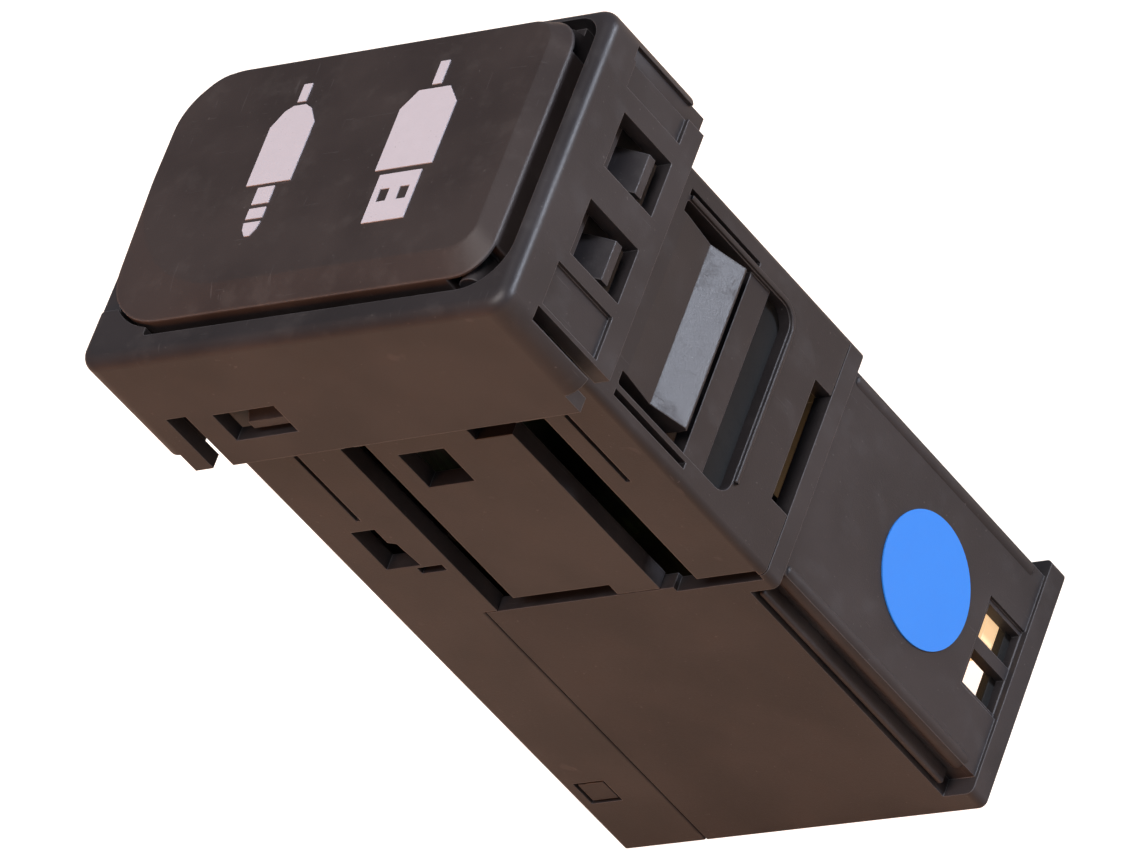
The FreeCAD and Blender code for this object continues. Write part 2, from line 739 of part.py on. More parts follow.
def make_lid():
    """Domed door with a hollow underside and two hinge arms."""
    body = new_body("lid")
    outline, corners = lid_outline()
    rim = flat_sketch(body, "XY_Plane", "lid_shelf", "rim", leans=True)
    draw_rounded(rim, *outline, corners)
    pad(body, rim, "rim", "lid_shelf - rim_level", backwards=True)
    shelf = flat_sketch(body, "XY_Plane", "lid_shelf", "shelf", leans=True)
    draw_rounded(shelf, *outline, corners)
    crown = flat_sketch(body, "XY_Plane", "lid_crown", "crown", leans=True)
    draw_rounded(crown, "lid_left + lid_band_left", "lid_right - lid_band_right",
                 "lid_low + lid_band_low", "lid_high - lid_band_high",
                 ("lid_top_large_corner", "lid_top_right_corner",
                  "lid_top_right_corner", "lid_top_left_corner"))
    doc.recompute()
    dome = body.newObject("PartDesign::AdditiveLoft", "lid_dome_loft")
    dome.Profile = shelf
    dome.Sections = [crown]
    dome.Ruled = True
    doc.recompute()
    inner = "lid_rim_width"
    hollow = flat_sketch(body, "XY_Plane", "lid_crown - lid_skin", "hollow", leans=True)
    draw_rounded(hollow, f"lid_left + {inner}", f"lid_right - {inner}",
                 f"lid_low + {inner}", f"lid_high - {inner}",
                 tuple(f"{corner} - {inner}" for corner in corners))
    pocket(body, hollow, "hollow", "4 * overcut")
    notch = ("hinge_side - cheek_radius - rim_notch", "lid_right + overcut")
    under = flat_sketch(body, "XY_Plane", "lid_crown - lid_skin - skirt_fit", "rim_notch", leans=True)
    draw_box(under, *notch, "lid_low - overcut", "hinge_low + cheek_gap")
    draw_box(under, *notch, "hinge_high - cheek_gap", "lid_high + overcut")
    pocket(body, under, "rim_notch", "4 * overcut")
    side = ("hinge_side - cheek_radius", "hinge_side + cheek_radius")
    axis = ("hinge_side", "hinge_level")
    for end in ("low", "high"):
        arm = hinge_span(end, "-arm_width", "0")
        add_plate(body, f"{end}_arm", *arm, [
            (*side, "hinge_level", lean_level("hinge_side") + " + lid_proud"),
        ])
        add_rod(body, f"{end}_eye", "XZ_Plane", *turned(arm), *axis, "cheek_radius")
        stub = hinge_span(end, "-overcut", "stub_reach")
        add_rod(body, f"{end}_stub", "XZ_Plane", *turned(stub), *axis, "stub_radius")
    return body


def beside(middle, offset):
    """A place at some distance from a middle line."""
    return f"{middle} + ({offset}) * sign_unit"


def above(foot, height):
    """A level at some height over a foot line."""
    return f"{foot} + {height} * sign_unit"


def make_jack_sign():
    """Printed outline of a round plug with its cable."""
    body = new_body("jack_pictogram")
    sketch = flat_sketch(body, "XY_Plane", "lid_crown", "print", leans=True)
    x, y = "jack_sign_middle", "jack_sign_foot"
    for half, low, high in ((0.42, 13.2, 14.9), (0.82, 3.5, 5.1), (0.82, 2.1, 3.1)):
        draw_box(sketch, beside(x, -half), beside(x, half), above(y, low), above(y, high))
    tip = ((0.82, 1.75), (0.66, 1.05), (0.25, 0.45))
    handle = ((0.9, 5.45), (2.15, 5.45), (2.15, 11.0), (1.3, 12.4), (0.6, 12.85))
    for outline in (tip, handle):
        right = [(beside(x, across), above(y, up)) for across, up in outline]
        left = [(beside(x, -across), above(y, up)) for across, up in reversed(outline)]
        draw_path(sketch, right + left)
    pad(body, sketch, "print", "print_thickness")
    return body


def make_plug_sign():
    """Printed outline of a flat plug with two openings and its cable."""
    body = new_body("plug_pictogram")
    sketch = flat_sketch(body, "XY_Plane", "lid_crown", "print", leans=True)
    x, y = "plug_sign_middle", "plug_sign_foot"
    draw_box(sketch, beside(x, -0.45), beside(x, 0.45), above(y, 13.2), above(y, 15.4))
    handle = ((2.7, 5.4), (2.7, 11.2), (1.5, 12.8))
    right = [(beside(x, across), above(y, up)) for across, up in handle]
    left = [(beside(x, -across), above(y, up)) for across, up in reversed(handle)]
    draw_path(sketch, right + left)
    draw_box(sketch, beside(x, -2.0), beside(x, 2.0), above(y, 0.4), above(y, 4.9))
    for middle in (-0.95, 0.95):
        draw_box(sketch, beside(x, middle - 0.45), beside(x, middle + 0.45), above(y, 2.3), above(y, 3.5))
    pad(body, sketch, "print", "print_thickness")
    return body


def make_bumpers():
    """Two rubber pads under the lid's lower rim."""
    body = new_body("lid_bumpers")
    low = "lid_low + bumper_inset"
    high = "lid_low + lid_rim_width - bumper_inset"
    half = "bumper_length / 2"
    sketch = flat_sketch(body, "XY_Plane", "rim_level - skirt_fit / 20", "pads", leans=True)
    for middle in ("-bumper_half_span", "bumper_half_span"):
        draw_box(sketch, f"{middle} - {half}", f"{middle} + {half}", low, high)
    pad(body, sketch, "pads", "rim_level - casing_front - bumper_gap", backwards=True)
    return body


def side_latch(body, side, sign):
    """Snap latch in its pocket, with a bridge behind it and a groove on each side."""
    right = sign == ""
    cut = cut_from_right if right else cut_from_left
    start = "body_side + overcut"
    window = flat_sketch(body, "YZ_Plane", start if right else f"-({start})", f"{side}_pocket")
    draw_rounded(window, "pocket_low", "pocket_high", "pocket_rear", "pocket_front",
                 ("pocket_corner", "pocket_corner", "pocket_corner / 6", "pocket_corner / 6"))
    pocket(body, window, f"{side}_pocket", "body_wall + 2 * overcut", forwards=not right)
    cut(body, f"{side}_grooves", start, "overcut + groove_depth", [
        ("pocket_high + groove_gap", "pocket_high + groove_gap + groove_width",
         "groove_rear", "pocket_front"),
        ("pocket_low - groove_gap - groove_width", "pocket_low - groove_gap",
         "groove_rear", "pocket_front"),
    ])
    cut(body, f"{side}_edge_notch", start, "body_wall + 2 * overcut", [
        ("-edge_notch_half", "edge_notch_half", "casing_rear - overcut", "casing_rear + edge_notch_depth"),
    ])
    arm = [
        ("body_side", "pocket_front + overcut / 2"),
        ("body_side", "pocket_front - overcut / 2"),
        ("body_side - latch_dip", "ramp_front"),
        ("body_side + latch_rise", "ramp_rear + overcut / 4"),
        ("body_side + latch_rise - overcut / 8", "ramp_rear"),
        ("body_side - latch_thickness", "ramp_rear"),
        ("body_side - latch_dip - latch_thickness", "ramp_front - overcut"),
        ("body_side - body_wall", "pocket_front + overcut / 2"),
    ]
    bridge_face = "body_side - bridge_drop"
    bridge = [
        (bridge_face, "bridge_rear"), (bridge_face, "bridge_front"),
        (f"{bridge_face} - bridge_thickness", "bridge_front"),
        (f"{bridge_face} - bridge_thickness", "bridge_rear"),
    ]
    place = lambda points: [(x if right else f"-({x})", z) for x, z in points]
    add_profile(body, f"{side}_arm", "latch_low", "latch_high", place(arm))
    add_profile(body, f"{side}_bridge", "pocket_low - overcut / 4", "pocket_high + overcut / 4",
                place(bridge))


def snap_lugs(body):
    """Ramped lugs that stand in the windows of the bezel's skirt."""
    rear = "lug_front - lug_depth"
    tip = "bezel_side - lug_reveal"
    foot = "body_side - overcut / 2"
    half = "lug_width / 2"
    for side, sign in (("right", ""), ("left", "-")):
        for place in ("low_window", "high_window"):
            points = [(foot, rear), (tip, rear), (tip, f"{rear} + lug_depth / 3"),
                      ("body_side", "lug_front"), (foot, "lug_front")]
            points = [(f"{sign}({x})", z) for x, z in points]
            add_profile(body, f"{side}_{place}_lug", f"{place} - {half}", f"{place} + {half}", points)
    for side, sign in (("top", ""), ("floor", "-")):
        tip = "bezel_top - lug_reveal"
        foot = "body_top - overcut / 2"
        points = [(foot, rear), (tip, rear), (tip, f"{rear} + lug_depth / 3"),
                  ("body_top", "lug_front"), (foot, "lug_front")]
        points = [(f"{sign}({y})", z) for y, z in points]
        left = "floor_window_left + floor_window_width - lug_width - lug_reveal"
        add_bar(body, f"{side}_lug", left, f"{left} + lug_width", points)


def make_casing():
    """Main moulding: a box with side latches, a slotted floor and a strip to the rear end."""
    body = new_body("casing")
    corners = ("body_round",) * 4
    outline = ("-body_side", "body_side", "-body_top", "body_top")
    add_rounded(body, "box", "casing_rear", "casing_front", outline, corners)
    fit = "skirt_fit"
    collar = (f"-skirt_inner_side + {fit}", f"skirt_inner_side - {fit}",
              f"-skirt_inner_top + {fit}", f"skirt_inner_top - {fit}")
    small = "bezel_corner - overcut"
    large = f"bezel_large_corner - skirt_wall - {fit}"
    add_rounded(body, "collar", "casing_front - collar_depth", "casing_front", collar,
                (small, small, small, large))
    add_rounded(body, "strip", "0", "casing_rear", (
        "-body_side", "strip_right", "-body_top", "body_top",
    ), ("body_round", "body_round / 4", "body_round / 4", "body_round"))
    hollow = ("-inner_side", "inner_side", "-inner_top", "inner_top")
    cut_blocks(body, "hollow", "end_wall", "casing_front + overcut", [hollow])
    opening = ("end_opening_left", "end_opening_right", "end_opening_low", "end_opening_high")
    cut_blocks(body, "end_opening", "-overcut", "end_wall + overcut", [opening])
    for side, sign in (("right", ""), ("left", "-")):
        side_latch(body, side, sign)
    snap_lugs(body)
    left = "left_channel_left"
    right = "right_channel_left"
    floor = "-body_top - overcut"
    through = "body_wall + 2 * overcut"
    cut_from_below(body, "floor_channels", floor, through, [
        (left, f"{left} + left_channel_width", "casing_rear - overcut", "channel_front"),
        (right, f"{right} + right_channel_width", "casing_rear - overcut", "channel_front"),
    ])
    cut_from_below(body, "floor_slots", floor, through, [
        (f"{left} + left_channel_width - overcut / 4", "flap_slot_right",
         "casing_rear - overcut", "casing_rear + cross_slot_width"),
        ("head_slot_left", f"{right} + cross_slot_width",
         "channel_front - cross_slot_width", "channel_front + overcut / 4"),
        (f"{left} + slit_width", f"{left} + slit_width + overcut",
         "channel_front - overcut / 4", "channel_front + 2 * overcut"),
        ("left_slit", "left_slit + slit_width", "slit_rear", "channel_front"),
        ("right_slit", "right_slit + slit_width", "slit_rear", "channel_front"),
        ("hole_left", "hole_left + hole_width", "hole_rear", "hole_front"),
        ("short_slot_left", "short_slot_left + short_slot_width",
         "step_hole_rear - overcut", "step_hole_rear - overcut / 4"),
        ("rear_gap_left", "rear_gap_right", "casing_rear - overcut", "casing_rear + overcut / 2"),
    ])
    step = "step_hole_left"
    cut_profile(body, "step_hole", floor, through, (
        (step, "step_hole_rear"), (f"{step} + 3.4 * overcut", "step_hole_rear"),
        (f"{step} + 3.1 * overcut", "step_hole_front - 2 * overcut"),
        (f"{step} + 2.4 * overcut", "step_hole_front - 1.7 * overcut"),
        (f"{step} + 2.4 * overcut", "step_hole_front"), (step, "step_hole_front"),
    ))
    cut_from_below(body, "catch_windows", floor, "body_height + 2 * overcut", [
        ("catch_left", "catch_left + catch_width", "catch_rear", "catch_front"),
    ])
    rail_end = "board_half_width - rail_overlap"
    inside = "inner_side + overcut / 4"
    spans = ((rail_end, inside), (f"-({inside})", f"-({rail_end})"))
    add_blocks(body, "board_rails", "casing_rear + 2 * overcut", "jack_rear - overcut", [
        (*span, low, high) for span in spans for low, high in (
            ("board_top + rail_fit", "board_top + rail_fit + rail_thickness"),
            ("board_bottom - rail_fit - rail_thickness", "board_bottom - rail_fit"),
        )
    ])
    ledge = "inner_side - 2 * overcut"
    lip = "inner_top - 2 * overcut"
    up = "inner_top + overcut / 4"
    add_blocks(body, "plate_ledges", "plate_back - 1.5 * overcut", "plate_back", [
        (*span, low, high)
        for span in ((ledge, inside), (f"-({inside})", f"-({ledge})"))
        for low, high in ((lip, up), (f"-({up})", f"-({lip})"))
    ])
    return body


def make_cover():
    """C-shaped rear cover with stepped corners, an end flange and snap tongues."""
    body = new_body("rear_cover")
    corner = "body_round"
    add_rounded(body, "block", "0", "cover_front", (
        "cover_left", "body_side", "-body_top", "body_top",
    ), (f"{corner} / 4", corner, corner, f"{corner} / 4"))
    low, high = "flange_band", "cover_front - collar_band"
    beyond = "body_side + overcut"
    above = "body_top + overcut"
    cut_blocks(body, "panel_drop", low, high, [("panel_side", beyond, f"-({above})", above)])
    cut_blocks(body, "corner_steps", low, high, [
        ("step_side", beyond, "step_top", above),
        ("step_side", beyond, f"-({above})", "-step_top"),
    ])
    cut_blocks(body, "hollow", "end_wall", "cover_front + overcut", [
        ("cover_left - overcut", "step_side - cover_wall", "-cover_inner_top", "cover_inner_top"),
    ])
    inner = "step_top - cover_wall"
    cut_blocks(body, "side_hollow", "end_wall", "cover_front + overcut", [
        ("0", "cover_inner_side", f"-({inner})", inner),
    ])
    opening = ("end_opening_left", "end_opening_right", "end_opening_low", "end_opening_high")
    cut_blocks(body, "end_opening", "-overcut", "end_wall + overcut", [opening])
    cut_from_right(body, "peep_windows", "body_side + overcut", "cover_wall + 3 * overcut", [
        ("peep_low", "peep_bar_low", "peep_rear", "peep_front"),
        ("peep_bar_high", "peep_high", "peep_rear", "peep_front"),
    ])
    cut_from_right(body, "peep_frame", "panel_side + overcut", "overcut + panel_drop", [
        ("peep_low - peep_frame", "peep_high + peep_frame", "flange_band", "peep_front + peep_frame"),
    ])
    floor = "-body_top - overcut"
    cut_from_below(body, "floor_gap", floor, "cover_wall + 2 * overcut", [
        ("rear_gap_left", "rear_gap_right", "cover_front - overcut / 2", "cover_front + overcut"),
    ])
    wide = "tongue_thickness"
    seat = "inner_top - cover_seam"
    root = "cover_left + overcut"
    guide_spans = (("-4.5 * overcut", "-overcut"), ("inner_side - 4.4 * overcut", "inner_side - 2.8 * overcut"))
    for side, sign in (("top", ""), ("floor", "-")):
        tongue = [f"{seat} - {wide}", seat]
        hook = ["inner_top - overcut / 2", "body_top - cover_seam"]
        guide = [f"{seat} - {wide}", seat]
        link = [f"{seat} - {wide}", "cover_inner_top + overcut / 4"]
        if sign:
            tongue, hook, guide, link = (
                [f"-({end})" for end in reversed(pair)] for pair in (tongue, hook, guide, link)
            )
        add_blocks(body, f"{side}_tongue", "tongue_rear", "tongue_front",
                   [("tongue_left", root, *tongue)])
        add_blocks(body, f"{side}_tongue_root", "tongue_rear", "tongue_front",
                   [("cover_left", root, *link)])
        add_blocks(body, f"{side}_hook", "catch_rear + catch_clearance", "catch_front - catch_clearance",
                   [("catch_left + catch_clearance", "catch_left + catch_width - catch_clearance", *hook)])
        add_blocks(body, f"{side}_guides", "cover_front - collar_band", "casing_rear + 5 * overcut",
                   [(*span, *guide) for span in guide_spans])
        add_blocks(body, f"{side}_guide_roots", "cover_front - 2 * collar_band", "cover_front - overcut / 2",
                   [(*span, *link) for span in guide_spans])
    return body


def make_dot():
    """Round sticker on the side of the rear cover."""
    body = new_body("dot_sticker")
    add_rod(body, "disc", "YZ_Plane", "panel_side", "panel_side + dot_thickness",
            "dot_height", "dot_level", "dot_radius")
    return body


def make_plate():
    """Plate behind the lid, with the openings of both sockets."""
    body = new_body("socket_plate")
    add_rounded(body, "sheet", "plate_back", "plate_front", (
        "-plate_side", "plate_side", "-plate_top", "plate_top",
    ), ("body_round / 2",) * 4)
    half = "(usb_width / 2 + usb_fit)"
    tall = "(usb_height / 2 + usb_fit)"
    cut_blocks(body, "usb_opening", "plate_back - overcut", "plate_front + overcut", [
        (f"usb_middle - {half}", f"usb_middle + {half}", f"-({tall})", tall),
    ])
    cut_rod(body, "jack_opening", "XY_Plane", "plate_back - overcut", "plate_front + overcut",
            "jack_middle", "0", "jack_bush_radius + jack_fit")
    return body


def make_usb_shell():
    """Folded sheet shell with spring cut-outs and two feet in the board."""
    body = new_body("usb_shell")
    half, tall = "usb_width / 2", "usb_height / 2"
    left, right = f"usb_middle - {half}", f"usb_middle + {half}"
    add_rounded(body, "box", "usb_rear", "usb_front", (left, right, f"-{tall}", tall),
                ("usb_sheet * 2",) * 4)
    cut_rounded(body, "mouth", "usb_rear + usb_sheet", "usb_front + overcut", (
        f"{left} + usb_sheet", f"{right} - usb_sheet", f"-{tall} + usb_sheet", f"{tall} - usb_sheet",
    ), ("usb_sheet",) * 4)
    cut_from_below(body, "spring_slots", f"{tall} - 2 * usb_sheet", "3 * usb_sheet", [
        (f"usb_middle + {place} - overcut", f"usb_middle + {place} + overcut",
         "usb_front - 8 * overcut", "usb_front - 3 * overcut")
        for place in ("3 * overcut", "(-3) * overcut")
    ])
    add_plate(body, "feet", "board_bottom - overcut", "board_top + overcut", [
        (f"{left}", f"{left} + usb_sheet", "usb_rear + 3 * overcut", "usb_rear + 5 * overcut"),
        (f"{right} - usb_sheet", right, "usb_rear + 3 * overcut", "usb_rear + 5 * overcut"),
    ])
    return body


def make_usb_tongue():
    """Insulator of the socket: a block in the shell's rear and the tongue in its mouth."""
    body = new_body("usb_tongue")
    half = "usb_width / 2 - usb_sheet"
    tall = "usb_height / 2 - usb_sheet"
    rear = "usb_rear + usb_sheet"
    add_rounded(body, "block", rear, f"{rear} + 4 * overcut", (
        f"usb_middle - ({half})", f"usb_middle + {half}", f"-({tall})", tall,
    ), ("usb_sheet",) * 4)
    plate = "tongue_plate_width / 2"
    lift = "tongue_plate_lift"
    add_blocks(body, "tongue", rear, "usb_front - tongue_plate_setback", [
        (f"usb_middle - {plate}", f"usb_middle + {plate}",
         f"{lift} - tongue_plate_height / 2", f"{lift} + tongue_plate_height / 2"),
    ])
    return body


def make_usb_contacts():
    """Four flat contacts under the tongue."""
    body = new_body("usb_contacts")
    low = "tongue_plate_lift - tongue_plate_height / 2"
    add_plate(body, "strips", f"{low} - contact_thickness", low, [
        (f"usb_middle + {step} * contact_pitch - contact_width / 2",
         f"usb_middle + {step} * contact_pitch + contact_width / 2",
         "usb_rear + usb_sheet + 4 * overcut", "usb_front - tongue_plate_setback - overcut")
        for step in ("(-1.5)", "(-0.5)", "0.5", "1.5")
    ])
    return body


def make_jack_housing():
    """Moulded body of the audio jack, bored from the front."""
    body = new_body("jack_housing")
    half = "jack_width / 2"
    x = "jack_middle"
    add_blocks(body, "block", "jack_rear", "jack_front", [
        (f"{x} - {half}", f"{x} + {half}", "board_top", "-board_top"),
    ])
    cut_rod(body, "bore", "XY_Plane", "jack_rear - overcut", "jack_front + overcut", x, "0",
            "jack_bore + jack_fit")
    cut_from_below(body, "spring_slots", "overcut", "4 * overcut", [
        (f"{x} - overcut / 2", f"{x} + overcut / 2", f"jack_rear + {start} * overcut",
         f"jack_rear + {start} * overcut + 2 * overcut")
        for start in (1.5, 5.5)
    ])
    return body


def make_jack_bush():
    """Plated front bush of the audio jack, seated in the plate."""
    body = new_body("jack_bush")
    add_rod(body, "ring", "XY_Plane", "jack_front", "plate_front + overcut / 4",
            "jack_middle", "0", "jack_bush_radius")
    cut_rod(body, "bore", "XY_Plane", "jack_front - overcut", "plate_front + overcut",
            "jack_middle", "0", "jack_bore")
    doc.recompute()
    front = amount("plate_front") + 0.2
    base = body.Tip
    bevel = body.newObject("PartDesign::Chamfer", "jack_bush_front_bevel")
    bevel.Base = (base, [
        f"Edge{i}" for i, edge in enumerate(base.Shape.Edges, start=1) if edge.BoundBox.ZMin > front
    ])
    bevel.setExpression("Size", formula("overcut / 4"))
    doc.recompute()
    return body


def make_jack_springs():
    """Two leaf contacts in the slots of the jack's body."""
    body = new_body("jack_springs")
    x = "jack_middle"
    add_plate(body, "leaves", "jack_bore + jack_fit", "-board_top", [
        (f"{x} - overcut / 2", f"{x} + overcut / 2", f"jack_rear + {start} * overcut",
         f"jack_rear + {start} * overcut + overcut / 4")
        for start in (1.5, 5.5)
    ])
    return body


PIN_PLACES = ("(-2.5)", "(-1.5)", "(-0.5)", "0.5", "1.5", "2.5")


def pin_rows():
    """Height of each pin row with the level where its tails go through the board."""
    return (("0.6", "header_front + 2 * overcut"), ("3.4", "header_front + 4.5 * overcut"))


def make_board():
    """Printed circuit board with slots for the shell's feet and holes for the pins."""
    body = new_body("main_board")
    add_plate(body, "sheet", "board_bottom", "board_top", [
        ("-board_half_width", "board_half_width", "board_rear", "board_front"),
    ])
    depth = "board_thickness + 2 * overcut"
    half = "usb_width / 2"
    play = "overcut / 10"
    slots = []
    for edge in (f"usb_middle - {half}", f"usb_middle + {half} - usb_sheet"):
        slots.append((f"{edge} - {play}", f"{edge} + usb_sheet + {play}",
                      f"usb_rear + 3 * overcut - {play}", f"usb_rear + 5 * overcut + {play}"))
    cut_from_below(body, "foot_slots", "board_bottom - overcut", depth, slots)
    side = "pin_size * 0.6"
    cut_from_below(body, "pin_holes", "board_bottom - overcut", depth, [
        (f"{place} * pin_pitch - {side}", f"{place} * pin_pitch + {side}",
         f"{level} - {side}", f"{level} + {side}")
        for _, level in pin_rows() for place in PIN_PLACES
    ])
    return body


def make_header():
    """Pale rear connector: an open shroud with an ear on each side."""
    body = new_body("header_housing")
    half = "header_half_width"
    wall = "header_wall"
    add_rounded(body, "shroud", "header_rear", "header_front", (
        f"-{half}", half, "header_low", "header_high",
    ), ("body_round",) * 4)
    cut_blocks(body, "mouth", "header_rear - overcut", "header_front - 2 * header_wall", [
        (f"-{half} + {wall}", f"{half} - {wall}", f"header_low + {wall}", f"header_high - {wall}"),
    ])
    add_blocks(body, "ears", "header_rear", "header_rear + ear_depth", [
        (f"{half} - {wall} / 2", f"{half} + ear_reach", "ear_low", "header_high"),
        (f"-{half} - ear_reach", f"-{half} + {wall} / 2", "ear_low", "header_high"),
    ])
    side = "pin_size / 2"
    cut_blocks(body, "pin_holes", "header_front - 3 * header_wall", "header_front + overcut", [
        (f"{place} * pin_pitch - {side}", f"{place} * pin_pitch + {side}",
         f"{height} * overcut - {side}", f"{height} * overcut + {side}")
        for height, _ in pin_rows() for place in PIN_PLACES
    ])
    return body


def make_pins():
    """Two rows of bent square pins."""
    body = new_body("header_pins")
    side = "pin_size / 2"
    for row, (height, level) in enumerate(pin_rows(), start=1):
        add_blocks(body, f"row_{row}_blades", "header_rear + 2 * overcut", f"{level} + {side}", [
            (f"{place} * pin_pitch - {side}", f"{place} * pin_pitch + {side}",
             f"{height} * overcut - {side}", f"{height} * overcut + {side}")
            for place in PIN_PLACES
        ])
        add_plate(body, f"row_{row}_tails", "board_bottom - overcut", f"{height} * overcut", [
            (f"{place} * pin_pitch - {side}", f"{place} * pin_pitch + {side}",
             f"{level} - {side}", f"{level} + {side}")
            for place in PIN_PLACES
        ])
    return body


def make_chip():
    """Control chip with a row of legs on two sides."""
    body = new_body("control_chip")
    half = "chip_size / 2"
    level = "board_top + overcut / 10"
    middle = "chip_level"
    add_plate(body, "body", level, "board_top + chip_height", [
        (f"-{half}", half, f"{middle} - {half}", f"{middle} + {half}"),
    ])
    add_plate(body, "legs", "board_top", "board_top + chip_height / 2", [
        (f"{left}", f"{right}", f"{middle} + {step} * overcut - overcut / 4",
         f"{middle} + {step} * overcut + overcut / 4")
        for left, right in (("-chip_size / 2 - overcut", "-chip_size / 2 + overcut / 2"),
                            ("chip_size / 2 - overcut / 2", "chip_size / 2 + overcut"))
        for step in ("(-2)", "(-1)", "0", "1", "2")
    ])
    return body


def make_cans():
    """Two electrolytic capacitors with their square feet."""
    body = new_body("can_capacitors")
    for index, level in enumerate((2, 8), start=1):
        place = f"chip_level + {level} * overcut"
        sketch = flat_sketch(body, "XZ_Plane", "-(board_top + can_height)", f"can_{index}")
        draw_circle(sketch, "can_middle", place, "can_radius")
        pad(body, sketch, f"can_{index}", "can_height")
        add_plate(body, f"foot_{index}", "board_top", "board_top + 0.8 * overcut", [
            ("can_middle - can_radius - 0.2 * overcut",
             "can_middle + can_radius + 0.2 * overcut",
             f"{place} - can_radius - 0.2 * overcut", f"{place} + can_radius + 0.2 * overcut"),
        ])
    return body


def make_choke():
    """Power choke on the board."""
    body = new_body("choke")
    half = "choke_size / 2"
    x = "choke_middle"
    middle = "chip_level + 5 * overcut"
    add_plate(body, "block", "board_top", "board_top + choke_height", [
        (f"{x} - {half}", f"{x} + {half}", f"{middle} - {half}", f"{middle} + {half}"),
    ])
    round_edges(body, "corner_round", "overcut", lambda edge: (
        edge.BoundBox.XLength < 0.01 and edge.BoundBox.ZLength < 0.01))
    return body


def make_chip_parts():
    """Small surface parts in two rows beside the chip."""
    body = new_body("chip_parts")
    half_long, half_short = "part_length / 2", "part_width / 2"
    add_plate(body, "row", "board_top", "board_top + part_height", [
        (f"{x} * overcut - {half_long}", f"{x} * overcut + {half_long}",
         f"chip_level - {z} * overcut - {half_short}", f"chip_level - {z} * overcut + {half_short}")
        for x in ("(-2.5)", "0", "2.5") for z in (5, 6.5, 8)
    ])
    return body


MAKERS = (
    make_bezel, make_lid, make_jack_sign, make_plug_sign, make_bumpers, make_casing, make_cover,
    make_dot, make_plate, make_usb_shell, make_usb_tongue, make_usb_contacts, make_jack_housing,
    make_jack_bush, make_jack_springs, make_board, make_header, make_pins, make_chip, make_cans,
    make_choke, make_chip_parts,
)
pieces = [maker() for maker in MAKERS]
doc.recompute()
for item in doc.Objects:
    if "Invalid" in item.State or "Error" in item.State:
        raise RuntimeError(f"{item.Name} did not build: {item.State}")
os.makedirs("parts", exist_ok=True)
for piece in pieces:
    if piece.Shape.isNull() or not piece.Shape.isValid():
        raise RuntimeError(f"{piece.Label} has no valid solid")
    piece.Shape.exportStep(f"parts/{piece.Label}.step")
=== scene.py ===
"""Looks of a dash module with a hinged lid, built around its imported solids."""

import json
import logging
import math
from dataclasses import dataclass
from enum import Enum
from typing import Callable, ClassVar, Iterable, Mapping, Sequence, Union

import bpy
from mathutils import Matrix, Vector


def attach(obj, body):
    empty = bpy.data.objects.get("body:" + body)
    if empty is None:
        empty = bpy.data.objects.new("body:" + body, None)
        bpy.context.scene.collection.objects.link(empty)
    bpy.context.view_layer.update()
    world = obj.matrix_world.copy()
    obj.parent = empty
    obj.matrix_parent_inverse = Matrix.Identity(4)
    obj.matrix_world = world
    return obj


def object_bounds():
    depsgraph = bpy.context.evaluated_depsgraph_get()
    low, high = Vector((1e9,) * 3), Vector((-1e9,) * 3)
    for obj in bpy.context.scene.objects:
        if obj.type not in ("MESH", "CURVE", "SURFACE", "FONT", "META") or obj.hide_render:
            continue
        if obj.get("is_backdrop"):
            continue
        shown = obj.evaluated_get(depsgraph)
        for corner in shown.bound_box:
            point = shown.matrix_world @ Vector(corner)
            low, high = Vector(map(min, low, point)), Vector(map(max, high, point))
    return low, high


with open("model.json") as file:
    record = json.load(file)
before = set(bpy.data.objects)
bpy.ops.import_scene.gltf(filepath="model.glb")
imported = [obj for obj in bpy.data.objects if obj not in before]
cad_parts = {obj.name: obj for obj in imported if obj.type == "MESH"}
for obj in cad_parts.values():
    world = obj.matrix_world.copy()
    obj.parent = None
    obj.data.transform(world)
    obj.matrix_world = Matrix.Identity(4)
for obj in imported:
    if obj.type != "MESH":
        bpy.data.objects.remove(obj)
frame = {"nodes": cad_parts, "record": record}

LOG = logging.getLogger("module_looks")
MM = 0.001
SMOOTH_ANGLE = math.radians(35)
# A direction with at least this share along an axis counts as square on to it.
SQUARE_ON = 0.9
# A direction with less than this share along an axis counts as lying across it.
ACROSS = 0.1
# An edge this near to an outer face, in millimetres, counts as lying on it.
EDGE_REACH = 0.02

Triple = tuple[float, float, float]
Colour = Triple
Steps = tuple[float, float]
Choice = Callable[[Vector, Vector], bool]
Number = Union[float, "Wire"]


class Body(Enum):
    """The two rigid bodies of the module."""

    MODULE = "module"
    DOOR = "door"


class Pick(Enum):
    """What is selected on a mesh."""

    EDGE = "EDGE"
    FACE = "FACE"


class Flip(Enum):
    """The axis on which a copy is mirrored."""

    NONE = ""
    SIDEWAYS = "X"
    UPWARD = "Y"


@dataclass(frozen=True)
class Box:
    """Box of a carried-over solid in millimetres."""

    low: Vector
    high: Vector

    @classmethod
    def of(cls, name: str) -> "Box":
        """Measure a solid.

        Args:
            name: name of its node.

        Returns:
            Its box.
        """
        node = frame["nodes"][name]
        corners = [node.matrix_world @ vertex.co / MM for vertex in node.data.vertices]
        ends = [Vector(round(end(corner[axis] for corner in corners), 3) for axis in range(3))
                for end in (min, max)]
        return cls(*ends)

    @property
    def middle(self) -> Vector:
        """Middle of the box."""
        return (self.low + self.high) / 2


@dataclass(frozen=True)
class Pattern:
    """Noise on millimetre coordinates, with features of about 1/scale of them."""

    scale: float
    detail: float = 3.0
    rough: float = 0.5
    stretch: Triple = (1.0, 1.0, 1.0)
    steps: Steps | None = None


